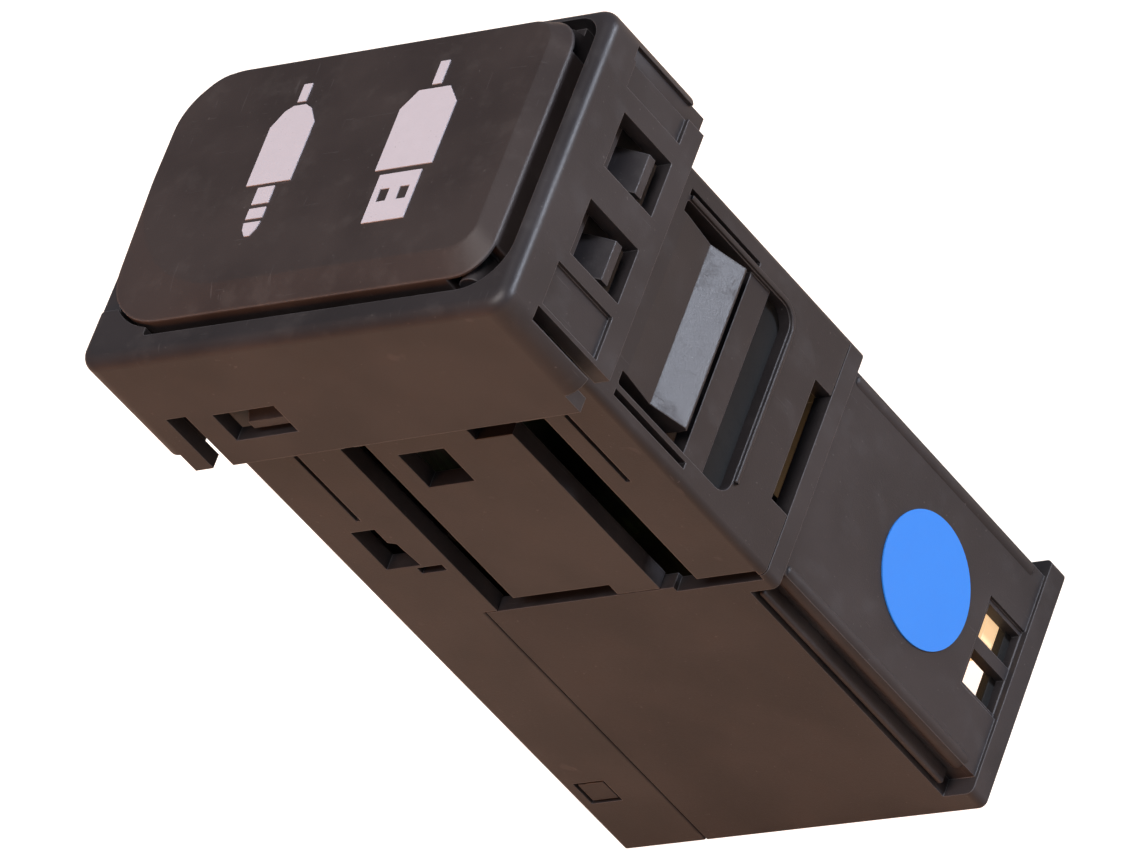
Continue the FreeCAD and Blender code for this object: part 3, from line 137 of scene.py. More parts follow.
class Wire:
    """A socket of a shader graph that can be used in sums."""

    def __init__(self, graph: "Graph", socket: bpy.types.NodeSocket) -> None:
        """Wrap a socket.

        Args:
            graph: the graph that the socket is in.
            socket: the output socket.
        """
        self.graph = graph
        self.socket = socket

    def _math(self, operation: str, first: Number, second: Number = 0.0) -> "Wire":
        """Add one Math node and return its result."""
        return self.graph.node("ShaderNodeMath", {"operation": operation}, {0: first, 1: second})

    def __add__(self, other: Number) -> "Wire":
        """Sum."""
        return self._math("ADD", self, other)

    def __radd__(self, other: Number) -> "Wire":
        """Sum with a number in front."""
        return self._math("ADD", other, self)

    def __sub__(self, other: Number) -> "Wire":
        """Difference."""
        return self._math("SUBTRACT", self, other)

    def __rsub__(self, other: Number) -> "Wire":
        """Difference from a number."""
        return self._math("SUBTRACT", other, self)

    def __mul__(self, other: Number) -> "Wire":
        """Product."""
        return self._math("MULTIPLY", self, other)

    def __rmul__(self, other: Number) -> "Wire":
        """Product with a number in front."""
        return self._math("MULTIPLY", other, self)

    def clamp(self) -> "Wire":
        """This value held between 0 and 1."""
        return self.graph.node("ShaderNodeClamp", {}, {0: self, 1: 0.0, 2: 1.0})

    def step(self, ends: Steps) -> "Wire":
        """A smooth step from 0 to 1.

        Args:
            ends: values where the step starts and ends.

        Returns:
            The stepped value.
        """
        settings = {"interpolation_type": "SMOOTHSTEP", "clamp": True}
        return self.graph.node("ShaderNodeMapRange", settings, {0: self, 1: ends[0], 2: ends[1]})


class Graph:
    """A material and the few ways in which its nodes are made."""

    EDGE_STEPS: ClassVar[Steps] = (0.02, 0.3)
    BEVEL_SAMPLES: ClassVar[int] = 6

    def __init__(self, name: str) -> None:
        """Start an empty material with an output.

        Args:
            name: name of the material.
        """
        self.material = bpy.data.materials.new(name)
        self.material.use_nodes = True
        self.tree = self.material.node_tree
        self.tree.nodes.clear()
        self.output = self.tree.nodes.new("ShaderNodeOutputMaterial")
        self.places: dict[Triple, Wire] = {}

    def node(
        self,
        kind: str,
        settings: Mapping[str, object] | None = None,
        inputs: Mapping[Union[int, str], object] | None = None,
        result: Union[int, str] = 0,
    ) -> Wire:
        """Add a node, set it, fill its sockets and give one of its results.

        Args:
            kind: type name of the node.
            settings: properties of the node.
            inputs: sockets by name or place, each with a value or a wire.
            result: the output that is wanted.

        Returns:
            The wanted output.
        """
        made = self.tree.nodes.new(kind)
        for key, value in (settings or {}).items():
            setattr(made, key, value)
        for key, value in (inputs or {}).items():
            socket = made.inputs[key]
            if isinstance(value, Wire):
                self.tree.links.new(value.socket, socket)
            else:
                socket.default_value = value
        return Wire(self, made.outputs[result])

    def place(self, stretch: Triple) -> Wire:
        """Object coordinates in millimetres, made once for each stretch.

        Args:
            stretch: stretch on each axis.

        Returns:
            The coordinates.
        """
        if stretch not in self.places:
            coordinates = self.node("ShaderNodeTexCoord", result="Object")
            inputs = {"Vector": coordinates, "Scale": tuple(value / MM for value in stretch)}
            self.places[stretch] = self.node("ShaderNodeMapping", {}, inputs)
        return self.places[stretch]

    def noise(self, pattern: Pattern) -> Wire:
        """Noise in a pattern.

        Args:
            pattern: its scale, finer layers, stretch and steps.

        Returns:
            Values from 0 to 1, stepped where the pattern has steps.
        """
        values = self.node("ShaderNodeTexNoise", {}, {
            "Vector": self.place(pattern.stretch), "Scale": pattern.scale,
            "Detail": pattern.detail, "Roughness": pattern.rough,
        })
        return values.step(pattern.steps) if pattern.steps else values

    def mix(self, factor: Number, first: object, second: object) -> Wire:
        """A colour between two others.

        Args:
            factor: 0 for the first, 1 for the second.
            first: a colour or a wire.
            second: a colour or a wire.

        Returns:
            The mixed colour.
        """
        ends = [value if isinstance(value, Wire) else (*value, 1.0) for value in (first, second)]
        settings = {"data_type": "RGBA"}
        return self.node("ShaderNodeMix", settings, {0: factor, 6: ends[0], 7: ends[1]}, 2)

    def soft_normal(self, radius: float) -> Wire:
        """The surface's normal with its edges rounded by a radius in millimetres."""
        return self.node("ShaderNodeBevel", {"samples": self.BEVEL_SAMPLES}, {"Radius": radius * MM})

    def edge_mask(self, rounded: Wire) -> Wire:
        """How far a rounded normal leans away from the flat one.

        Args:
            rounded: the rounded normal.

        Returns:
            0 on a flat stretch and 1 on an edge.
        """
        flat = self.node("ShaderNodeNewGeometry", result="Normal")
        settings = {"operation": "DOT_PRODUCT"}
        along = self.node("ShaderNodeVectorMath", settings, {0: rounded, 1: flat}, "Value")
        return (1.0 - along).step(self.EDGE_STEPS)

    def bump(self, height: Wire, depth: float, normal: Wire | None = None) -> Wire:
        """Small relief.

        Args:
            height: relief from 0 to 1.
            depth: its depth in millimetres.
            normal: the normal that it stands on.

        Returns:
            The normal with the relief.
        """
        inputs: dict[Union[int, str], object] = {
            "Height": height, "Distance": depth * MM, "Strength": 1.0,
        }
        if normal is not None:
            inputs["Normal"] = normal
        return self.node("ShaderNodeBump", {}, inputs)

    def finish(self, inputs: Mapping[str, object]) -> bpy.types.Material:
        """Close the material with its main shader.

        Args:
            inputs: sockets of the main shader by name.

        Returns:
            The finished material.
        """
        shader = self.node("ShaderNodeBsdfPrincipled", {}, inputs)
        self.tree.links.new(shader.socket, self.output.inputs["Surface"])
        return self.material


@dataclass(frozen=True)
class Moulding:
    """Injection moulded plastic: fine spark grain, faint flow, scuffs, edges lightened as rubbed
    wear and as painted highlight, and an optional painted glow.
    """

    FLOW: ClassVar[Pattern] = Pattern(0.09, steps=(0.35, 0.65))
    LENGTHWAYS: ClassVar[Pattern] = Pattern(0.9, 2.0, stretch=(0.35, 6.0, 0.35), steps=(0.72, 0.76))
    SIDEWAYS: ClassVar[Pattern] = Pattern(0.8, 2.0, stretch=(6.0, 0.35, 0.5), steps=(0.72, 0.76))
    PATCHES: ClassVar[Pattern] = Pattern(0.35, 4.0, 0.65, steps=(0.5, 0.72))
    SPECKS: ClassVar[Pattern] = Pattern(3.1, 2.0, 0.4, steps=(0.73, 0.78))
    EDGE_SHARE: ClassVar[float] = 0.55
    SCRATCH_SHARE: ClassVar[float] = 0.16
    SCRATCH_WEAR: ClassVar[float] = 0.12
    SCRATCH_RELIEF: ClassVar[float] = -0.8
    SPECK_SHARE: ClassVar[float] = 0.5
    PATCH_SHARE: ClassVar[float] = 0.12
    PATCH_WEAR: ClassVar[float] = 0.1
    GRAIN_WEAR: ClassVar[float] = 0.18
    DUST: ClassVar[Colour] = (0.34, 0.32, 0.31)

    name: str
    dark: Colour
    light: Colour
    edge: Colour
    roughness: float = 0.42
    grain: Pattern = Pattern(7.0, 4.0, 0.7)
    grain_depth: float = 0.012
    edge_radius: float = 0.16
    scuffs: float = 0.5
    dust: float = 0.25
    glow: float = 0.0
    gloss: float = 0.38

    def build(self) -> bpy.types.Material:
        """Make the material.

        Returns:
            The material.
        """
        graph = Graph(self.name)
        grain = graph.noise(self.grain)
        rounded = graph.soft_normal(self.edge_radius)
        scratches = (graph.noise(self.LENGTHWAYS) + graph.noise(self.SIDEWAYS)).clamp()
        patches = graph.noise(self.PATCHES)
        specks = graph.noise(self.SPECKS)
        dust = (specks * self.SPECK_SHARE + patches * self.PATCH_SHARE) * self.dust
        colour = graph.mix(graph.noise(self.FLOW), self.dark, self.light)
        # Edges are lightened towards the edge colour: partly rubbed wear, partly painted highlight.
        colour = graph.mix(graph.edge_mask(rounded) * self.EDGE_SHARE, colour, self.edge)
        colour = graph.mix(scratches * (self.SCRATCH_SHARE * self.scuffs), colour, self.edge)
        colour = graph.mix(dust, colour, self.DUST)
        wear = patches * self.PATCH_WEAR + scratches * (self.SCRATCH_WEAR * self.scuffs)
        wear = wear + (grain - 0.5) * self.GRAIN_WEAR
        relief = grain + scratches * (self.SCRATCH_RELIEF * self.scuffs)
        return graph.finish({
            "Base Color": colour,
            "Roughness": (self.roughness + wear).clamp(),
            "Normal": graph.bump(relief, self.grain_depth, rounded),
            "Specular IOR Level": self.gloss,
            # Emission paints a glow into the colour. Only the nylon uses it, as painted light
            # shining through it.
            "Emission Color": colour,
            "Emission Strength": self.glow,
        })


@dataclass(frozen=True)
class Print:
    """Pad-printed ink, slightly uneven and worn through in pin-pricks."""

    HOLES: ClassVar[Pattern] = Pattern(5.0, 3.0, 0.6, steps=(0.68, 0.74))
    CLOUD: ClassVar[Pattern] = Pattern(0.8)
    RELIEF: ClassVar[Pattern] = Pattern(6.0, 2.0)

    name: str
    ink: Colour
    worn: Colour
    shade: float = 0.9
    hole_share: float = 0.5
    roughness: float = 0.5
    cloud_wear: float = 0.2
    relief_depth: float = 0.006

    def build(self) -> bpy.types.Material:
        """Make the material.

        Returns:
            The material.
        """
        graph = Graph(self.name)
        cloud = graph.noise(self.CLOUD)
        tone = graph.mix(cloud, self.ink, tuple(value * self.shade for value in self.ink))
        return graph.finish({
            "Base Color": graph.mix(graph.noise(self.HOLES) * self.hole_share, tone, self.worn),
            "Roughness": self.roughness + (cloud - 0.5) * self.cloud_wear,
            "Normal": graph.bump(graph.noise(self.RELIEF), self.relief_depth),
        })


@dataclass(frozen=True)
class Label:
    """Coated paper with faint fibres."""

    FIBRES: ClassVar[Pattern] = Pattern(3.2, 5.0, 0.7, stretch=(1.0, 1.0, 3.0))
    CLOUD: ClassVar[Pattern] = Pattern(0.25, 2.0)

    name: str
    colour: Colour
    shade: Colour
    fibre_share: float = 0.35
    cloud_share: float = 0.4
    roughness: float = 0.42
    fibre_wear: float = 0.18
    relief_depth: float = 0.01
    coat: float = 0.15

    def build(self) -> bpy.types.Material:
        """Make the material.

        Returns:
            The material.
        """
        graph = Graph(self.name)
        fibres = graph.noise(self.FIBRES)
        shaded = (fibres * self.fibre_share + graph.noise(self.CLOUD) * self.cloud_share).clamp()
        return graph.finish({
            "Base Color": graph.mix(shaded, self.colour, self.shade),
            "Roughness": self.roughness + fibres * self.fibre_wear,
            "Normal": graph.bump(fibres, self.relief_depth),
            "Coat Weight": self.coat,
        })


@dataclass(frozen=True)
class Metal:
    """Rolled or plated metal with fine lines and tarnish."""

    CLOUD: ClassVar[Pattern] = Pattern(0.7, 4.0, 0.6)
    TARNISH_STEPS: ClassVar[Steps] = (0.5, 0.8)

    name: str
    bright: Colour
    tarnish: Colour
    lines: Pattern = Pattern(2.0, 3.0, 0.6, stretch=(1.0, 8.0, 8.0))
    roughness: float = 0.24
    line_wear: float = 0.12
    cloud_wear: float = 0.08
    edge_radius: float = 0.05
    relief_depth: float = 0.004

    def build(self) -> bpy.types.Material:
        """Make the material.

        Returns:
            The material.
        """
        graph = Graph(self.name)
        lines = graph.noise(self.lines)
        cloud = graph.noise(self.CLOUD)
        return graph.finish({
            "Base Color": graph.mix(cloud.step(self.TARNISH_STEPS), self.bright, self.tarnish),
            "Metallic": 1.0,
            "Roughness": self.roughness + lines * self.line_wear + cloud * self.cloud_wear,
            "Normal": graph.bump(lines, self.relief_depth, graph.soft_normal(self.edge_radius)),
        })


@dataclass(frozen=True)
class Laminate:
    """Lacquered circuit board with copper runs under the lacquer."""

    ISLANDS: ClassVar[Pattern] = Pattern(0.22, 1.0, steps=(0.47, 0.49))
    WEAVE: ClassVar[Pattern] = Pattern(4.0, 2.0)
    RUN_STRETCH: ClassVar[Triple] = (1.0, 0.0, 0.12)
    RUN_SCALE: ClassVar[float] = 0.32
    RUN_WAVER: ClassVar[float] = 3.0
    RUN_STEPS: ClassVar[Steps] = (0.52, 0.56)
    FACE_STEPS: ClassVar[Steps] = (0.4, 0.6)

    name: str
    lacquer: Colour
    copper: Colour
    core: Colour
    run_share: float = 0.7
    roughness: float = 0.3
    core_roughness: float = 0.35
    weave_wear: float = 0.08
    weave_relief: float = 0.2
    relief_depth: float = 0.02
    coat: float = 0.3

    def _runs(self, graph: Graph) -> Wire:
        """Copper runs along the board, where there are islands of them.

        Args:
            graph: the material's graph.

        Returns:
            1 on a run and 0 beside it.
        """
        settings = {"wave_type": "BANDS", "bands_direction": "X"}
        bands = graph.node("ShaderNodeTexWave", settings, {
            "Vector": graph.place(self.RUN_STRETCH), "Scale": self.RUN_SCALE,
            "Distortion": self.RUN_WAVER, "Detail": 0.0,
        }, "Fac")
        return bands.step(self.RUN_STEPS) * graph.noise(self.ISLANDS)

    def build(self) -> bpy.types.Material:
        """Make the material.

        Returns:
            The material.
        """
        graph = Graph(self.name)
        runs = self._runs(graph)
        normal = graph.node("ShaderNodeNewGeometry", result="Normal")
        upright = graph.node("ShaderNodeSeparateXYZ", {}, {0: normal}, "Y")
        faces = (upright * upright).step(self.FACE_STEPS)
        covered = graph.mix(runs * self.run_share, self.lacquer, self.copper)
        weave = graph.noise(self.WEAVE)
        wear = (1.0 - faces) * self.core_roughness + weave * self.weave_wear
        return graph.finish({
            "Base Color": graph.mix(faces, self.core, covered),
            "Roughness": self.roughness + wear,
            "Normal": graph.bump(runs + weave * self.weave_relief, self.relief_depth),
            "Coat Weight": faces * self.coat,
        })


@dataclass(frozen=True)
class Floor:
    """Warm paper floor that keeps the shadow and looks white to the camera."""

    TONE: ClassVar[Pattern] = Pattern(0.02, 2.0)
    WHITE: ClassVar[tuple[float, float, float, float]] = (1.0, 1.0, 1.0, 1.0)

    name: str
    colour: Colour = (0.74, 0.6, 0.49)
    shade: float = 0.985
    mottle: float = 0.15
    lift: float = 0.88

    def build(self) -> bpy.types.Material:
        """Make the material.

        Returns:
            The material.
        """
        graph = Graph(self.name)
        darker = tuple(value * self.shade for value in self.colour)
        shade = graph.mix(graph.noise(self.TONE) * self.mottle, self.colour, darker)
        paper = graph.node("ShaderNodeBsdfDiffuse", {}, {"Color": shade})
        rays = [
            graph.node("ShaderNodeLightPath", result=ray)
            for ray in ("Is Camera Ray", "Is Transmission Ray")
        ]
        strength = (rays[0] + rays[1]).clamp() * self.lift
        glow = graph.node("ShaderNodeEmission", {}, {"Color": self.WHITE, "Strength": strength})
        both = graph.node("ShaderNodeAddShader", {}, {0: paper, 1: glow})
        graph.tree.links.new(both.socket, graph.output.inputs["Surface"])
        return graph.material


class Finishes:
    """Every finish of the module, each built once, most named after the slot whose nodes they coat.
    """

    BLACK: ClassVar[Colour] = (0.0265, 0.0235, 0.0255)
    SOFT_BLACK: ClassVar[Colour] = (0.0375, 0.0335, 0.036)
    # Edge and scratch grey of the mouldings: rubbed wear, and on edges also painted highlight.
    RUBBED_AND_HIGHLIT: ClassVar[Colour] = (0.27, 0.26, 0.275)

    def __init__(self) -> None:
        """Build the finishes."""
        made = (*self._dark_plastics(), *self._pale_plastics(), *self._others())
        self.by_name = {finish.name: finish.build() for finish in made}

    def _dark_plastics(self) -> tuple[Moulding, ...]:
        """Black mouldings, ferrite and rubber.

        Returns:
            The finishes.
        """
        shell = (self.BLACK, self.SOFT_BLACK, self.RUBBED_AND_HIGHLIT)
        return (
            Moulding("bezel_plastic", *shell, roughness=0.4),
            Moulding("lid_plastic", (0.039, 0.03, 0.029), (0.055, 0.043, 0.041), self.RUBBED_AND_HIGHLIT,
                     roughness=0.38, edge_radius=0.42),
            Moulding("casing_plastic", *shell, roughness=0.36),
            Moulding("cover_plastic", *shell, roughness=0.45),
            Moulding("plate_plastic", (0.02, 0.02, 0.02), (0.03, 0.03, 0.03), self.RUBBED_AND_HIGHLIT,
                     roughness=0.5),
            # Near black standing in for the shade deep in pockets and behind windows: painted shade.
            Moulding("painted_shade_plastic", (0.004, 0.004, 0.004), (0.008, 0.008, 0.008),
                     (0.05, 0.05, 0.05), roughness=0.7, dust=0.02),
            Moulding("jack_plastic", (0.015, 0.015, 0.015), (0.022, 0.022, 0.022), self.RUBBED_AND_HIGHLIT),
            Moulding("chip_plastic", (0.018, 0.018, 0.02), (0.03, 0.03, 0.03), self.RUBBED_AND_HIGHLIT,
                     grain=Pattern(12.0, 4.0, 0.7)),
            Moulding("ferrite", (0.06, 0.06, 0.065), (0.1, 0.1, 0.11), (0.25, 0.25, 0.25),
                     roughness=0.6),
            Moulding("rubber_pad", (0.02, 0.02, 0.02), (0.03, 0.03, 0.03), (0.07, 0.07, 0.07),
                     roughness=0.75),
        )

    def _pale_plastics(self) -> tuple[Moulding, ...]:
        """Nylon, insulator and ceramic.

        Returns:
            The finishes.
        """
        return (
            # glow=0.9 paints light into the nylon, standing in for light shining through it.
            Moulding("pale_nylon", (0.9, 0.56, 0.28), (0.96, 0.66, 0.38), (1.0, 0.85, 0.62),
                     roughness=0.4, dust=0.05, scuffs=0.1, glow=0.9),
            Moulding("insulator", (0.8, 0.8, 0.76), (0.88, 0.88, 0.84), (0.95, 0.95, 0.92),
                     roughness=0.4, dust=0.05, scuffs=0.1),
            Moulding("ceramic", (0.5, 0.4, 0.28), (0.62, 0.52, 0.4), (0.75, 0.7, 0.6),
                     roughness=0.5),
        )

    def _others(self) -> tuple[Union[Print, Label, Metal, Laminate], ...]:
        """Ink, label, metals and the board.

        Returns:
            The finishes.
        """
        return (
            Print("print_ink", (0.68, 0.64, 0.71), (0.12, 0.11, 0.11)),
            Label("sticker", (0.02, 0.25, 0.92), (0.03, 0.3, 0.97)),
            Metal("shell_metal", (0.78, 0.77, 0.74), (0.55, 0.53, 0.5)),
            Metal("contact_metal", (0.85, 0.68, 0.3), (0.6, 0.45, 0.2)),
            Metal("can_metal", (0.82, 0.82, 0.84), (0.6, 0.6, 0.62),
                  lines=Pattern(2.0, 3.0, 0.6, stretch=(8.0, 1.0, 8.0))),
            Laminate("board_laminate", (0.004, 0.012, 0.008), (0.01, 0.03, 0.014),
                     (0.014, 0.013, 0.01)),
        )

    def dress(self, piece: bpy.types.Object, slot: str, finish: str) -> None:
        """Give a new piece a finish.

        Args:
            piece: the piece.
            slot: the record's slot that it belongs to; not used.
            finish: name of its finish, mostly the slot's own.
        """
        self.coat(piece, finish)

    def coat(self, piece: bpy.types.Object, finish: str) -> None:
        """Leave a piece with one finish."""
        piece.data.materials.clear()
        piece.data.materials.append(self.by_name[finish])


class Bench:
    """The few hand moves with which new pieces are modelled."""

    SINK_SHARE: ClassVar[float] = 0.35

    @staticmethod
    def clear() -> None:
        """Leave nothing selected."""
        if bpy.context.object and bpy.context.object.mode != "OBJECT":
            bpy.ops.object.mode_set(mode="OBJECT")
        bpy.ops.object.select_all(action="DESELECT")

    @staticmethod
    def settle(name: str) -> bpy.types.Object:
        """Name the active piece and put its origin and axes on the module's.

        Args:
            name: name of the piece.

        Returns:
            The piece.
        """
        piece = bpy.context.active_object
        piece.name = name
        piece.data.name = name
        bpy.ops.object.transform_apply(location=True, rotation=True, scale=True)
        return piece

    @classmethod
    def block(cls, name: str, low: Sequence[float], high: Sequence[float]) -> bpy.types.Object:
        """Start a piece from a block.

        Args:
            name: name of the piece.
            low: its lowest corner in millimetres.
            high: its highest corner.

        Returns:
            The piece.
        """
        cls.clear()
        middle = [(a + b) / 2 * MM for a, b in zip(low, high)]
        bpy.ops.mesh.primitive_cube_add(size=1.0, location=middle)
        bpy.context.active_object.scale = [(b - a) * MM for a, b in zip(low, high)]
        return cls.settle(name)

    @classmethod
    def rod(cls, name: str, middle: Sequence[float], radius: float, length: float,
            sides: int) -> bpy.types.Object:
        """Start a piece from a round rod along Z.

        Args:
            name: name of the piece.
            middle: its middle in millimetres.
            radius: its radius.
            length: its length.
            sides: number of its flats.

        Returns:
            The piece.
        """
        cls.clear()
        bpy.ops.mesh.primitive_cylinder_add(
            vertices=sides, radius=radius * MM, depth=length * MM,
            location=[value * MM for value in middle],
        )
        return cls.settle(name)

    @staticmethod
    def pick(piece: bpy.types.Object, kind: Pick, choose: Choice) -> None:
        """Open a piece for editing with some of its edges or faces selected.

        Args:
            piece: the piece.
            kind: what is selected.
            choose: test of an edge's middle and direction, or of a face's middle and
                normal, in millimetres.
        """
        bpy.context.view_layer.objects.active = piece
        piece.select_set(True)
        bpy.ops.object.mode_set(mode="EDIT")
        bpy.ops.mesh.select_mode(type=kind.value)
        bpy.ops.mesh.select_all(action="DESELECT")
        bpy.ops.object.mode_set(mode="OBJECT")
        mesh = piece.data
        if kind is Pick.FACE:
            for face in mesh.polygons:
                face.select = choose(face.center / MM, face.normal)
        else:
            for edge in mesh.edges:
                ends = [mesh.vertices[i].co for i in edge.vertices]
                along = (ends[1] - ends[0]).normalized()
                edge.select = choose((ends[0] + ends[1]) / 2 / MM, along)
        bpy.ops.object.mode_set(mode="EDIT")

    @staticmethod
    def done() -> None:
        """Leave editing with the normals facing outward."""
        bpy.ops.mesh.select_all(action="SELECT")
        bpy.ops.mesh.normals_make_consistent(inside=False)
        bpy.ops.object.mode_set(mode="OBJECT")

    @classmethod
    def bevel(cls, piece: bpy.types.Object, width: float, choose: Choice,
              segments: int = 2) -> None:
        """Round some edges of a piece.

        Args:
            piece: the piece.
            width: width of the rounding in millimetres.
            choose: test of the edges.
            segments: number of its flats.
        """
        cls.pick(piece, Pick.EDGE, choose)
        bpy.ops.mesh.bevel(offset=width * MM, segments=segments, profile=0.5, affect="EDGES")
        cls.done()

    @classmethod
    def sink(cls, piece: bpy.types.Object, inset: float, depth: float, choose: Choice) -> None:
        """Inset some faces and push their inner part in.

        Args:
            piece: the piece.
            inset: width of the rim that stays, in millimetres.
            depth: depth of the sunk field.
            choose: test of the faces.
        """
        cls.pick(piece, Pick.FACE, choose)
        bpy.ops.mesh.inset(thickness=inset * MM, depth=0.0)
        bpy.ops.mesh.inset(thickness=inset * cls.SINK_SHARE * MM, depth=-depth * MM)
        cls.done()

    @classmethod
    def hollow(cls, piece: bpy.types.Object, width: float, choose: Choice) -> None:
        """Turn a plate into a frame.

        Args:
            piece: the piece.
            width: width of the frame in millimetres.
            choose: test of the two faces that the opening joins.
        """
        cls.pick(piece, Pick.FACE, choose)
        bpy.ops.mesh.inset(thickness=width * MM, depth=0.0, use_individual=True)
        bpy.ops.mesh.bridge_edge_loops()
        cls.done()

    @classmethod
    def cut(cls, piece: bpy.types.Object, spot: Sequence[float], normal: Sequence[float]) -> None:
        """Cut off what lies beyond a plane and close the cut.

        Args:
            piece: the piece.
            spot: a point of the plane in millimetres.
            normal: direction of what is cut off.
        """
        cls.pick(piece, Pick.FACE, lambda middle, facing: True)
        bpy.ops.mesh.bisect(
            plane_co=[value * MM for value in spot], plane_no=normal, use_fill=True,
            clear_outer=True,
        )
        cls.done()

    @classmethod
    def twin(cls, piece: bpy.types.Object, name: str, shift: Sequence[float] = (0.0, 0.0, 0.0),
             flip: Flip = Flip.NONE) -> bpy.types.Object:
        """A copy with its own mesh.

        Args:
            piece: the piece that is copied.
            name: name of the copy.
            shift: how far it is moved, in millimetres.
            flip: the axis on which it is mirrored.

        Returns:
            The copy.
        """
        cls.clear()
        copy = piece.copy()
        copy.data = piece.data.copy()
        bpy.context.scene.collection.objects.link(copy)
        copy.select_set(True)
        bpy.context.view_layer.objects.active = copy
        copy.location = [value * MM for value in shift]
        copy.scale = [-1.0 if axis == flip.value else 1.0 for axis in "XYZ"]
        cls.settle(name)
        bpy.ops.object.mode_set(mode="EDIT")
        cls.done()
        return copy

    @classmethod
    def join(cls, pieces: Sequence[bpy.types.Object], name: str) -> bpy.types.Object:
        """Several solids as one piece.

        Args:
            pieces: the solids.
            name: name of the piece.

        Returns:
            The piece.
        """
        cls.clear()
        for piece in pieces:
            piece.select_set(True)
        bpy.context.view_layer.objects.active = pieces[0]
        bpy.ops.object.join()
        return cls.settle(name)


@dataclass
class Detail:
    """A modelled piece of the looks, with its body, slot and finish."""

    BODY: ClassVar[Body] = Body.MODULE
    SLOT: ClassVar[str] = "casing_plastic"
    FINISH: ClassVar[str] = ""

    finishes: Finishes

    def hand_in(self, *pieces: bpy.types.Object) -> None:
        """Smooth, dress and attach finished pieces.

        Args:
            pieces: the pieces.
        """
        for piece in pieces:
            Bench.clear()
            piece.select_set(True)
            bpy.context.view_layer.objects.active = piece
            bpy.ops.object.shade_smooth_by_angle(angle=SMOOTH_ANGLE)
            self.finishes.dress(piece, self.SLOT, self.FINISH or self.SLOT)
            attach(piece, self.BODY.value)
            LOG.info("modelled %s, %d faces", piece.name, len(piece.data.polygons))

    def build(self) -> None:
        """Model the pieces."""
        raise NotImplementedError


@dataclass
class SkirtFiller(Detail):
    """Flush wall that closes the upper corner of the skirt on each side."""

    SLOT: ClassVar[str] = "bezel_plastic"

    side_inset: float = 0.36
    thickness: float = 0.94
    top_inset: float = 1.1
    height: float = 1.7
    rear_inset: float = 0.2
    length: float = 9.15
    rounding: float = 0.12

    def build(self) -> None:
        """Model the right-hand wall and mirror it."""
        bezel = Box.of("bezel")
        side = bezel.high.x - self.side_inset
        top = bezel.high.y - self.top_inset
        rear = bezel.low.z + self.rear_inset
        wall = Bench.block("skirt_corner_right", (side - self.thickness, top - self.height, rear),
                           (side, top, rear + self.length))
        Bench.bevel(wall, self.rounding, lambda spot, along: spot.x > side - EDGE_REACH)
        self.hand_in(wall, Bench.twin(wall, "skirt_corner_left", flip=Flip.SIDEWAYS))


@dataclass
class PocketWalls(Detail):
    """Thin inner wall that closes each latch pocket behind its bridge, finished near black as
    painted shade.
    """

    SLOT: ClassVar[str] = "plate_plastic"
    FINISH: ClassVar[str] = "painted_shade_plastic"

    depth: float = 1.0
    thickness: float = 0.22
    bottom: float = -9.1
    top: float = 8.7
    clearance: float = 1.1
    length: float = 3.45
    rim: float = 0.5
    field_depth: float = 0.05

    def build(self) -> None:
        """Model one wall with a shallow field and mirror it."""
        cover = Box.of("rear_cover").high
        side = cover.x - self.depth
        rear = cover.z + self.clearance
        wall = Bench.block("pocket_wall_right", (side - self.thickness, self.bottom, rear),
                           (side, self.top, rear + self.length))
        Bench.sink(wall, self.rim, self.field_depth, lambda spot, facing: facing.x > SQUARE_ON)
        self.hand_in(wall, Bench.twin(wall, "pocket_wall_left", flip=Flip.SIDEWAYS))


@dataclass
class WindowSill(Detail):
    """Deep sill behind the rear edge of the two windows in the rear cover, finished near black as
    painted shade.
    """

    SLOT: ClassVar[str] = "cover_plastic"
    FINISH: ClassVar[str] = "painted_shade_plastic"

    ear_gap: float = 0.08
    wall: float = 1.41
    bottom: float = -4.4
    top: float = 4.45
    overhang: float = 0.3
    thickness: float = 1.45
    rim: float = 0.12
    field_depth: float = 0.2
    rounding: float = 0.08

    def build(self) -> None:
        """Model the sill with a sunk field in its rear side."""
        header = Box.of("header_housing")
        inner = header.high.x + self.ear_gap
        outer = Box.of("rear_cover").high.x - self.wall
        rear = header.low.z - self.overhang
        sill = Bench.block("window_sill", (inner, self.bottom, rear),
                           (outer, self.top, rear + self.thickness))
        Bench.sink(sill, self.rim, self.field_depth, lambda spot, facing: facing.z < -SQUARE_ON)
        Bench.bevel(sill, self.rounding, lambda spot, along: spot.x < inner + EDGE_REACH)
        self.hand_in(sill)


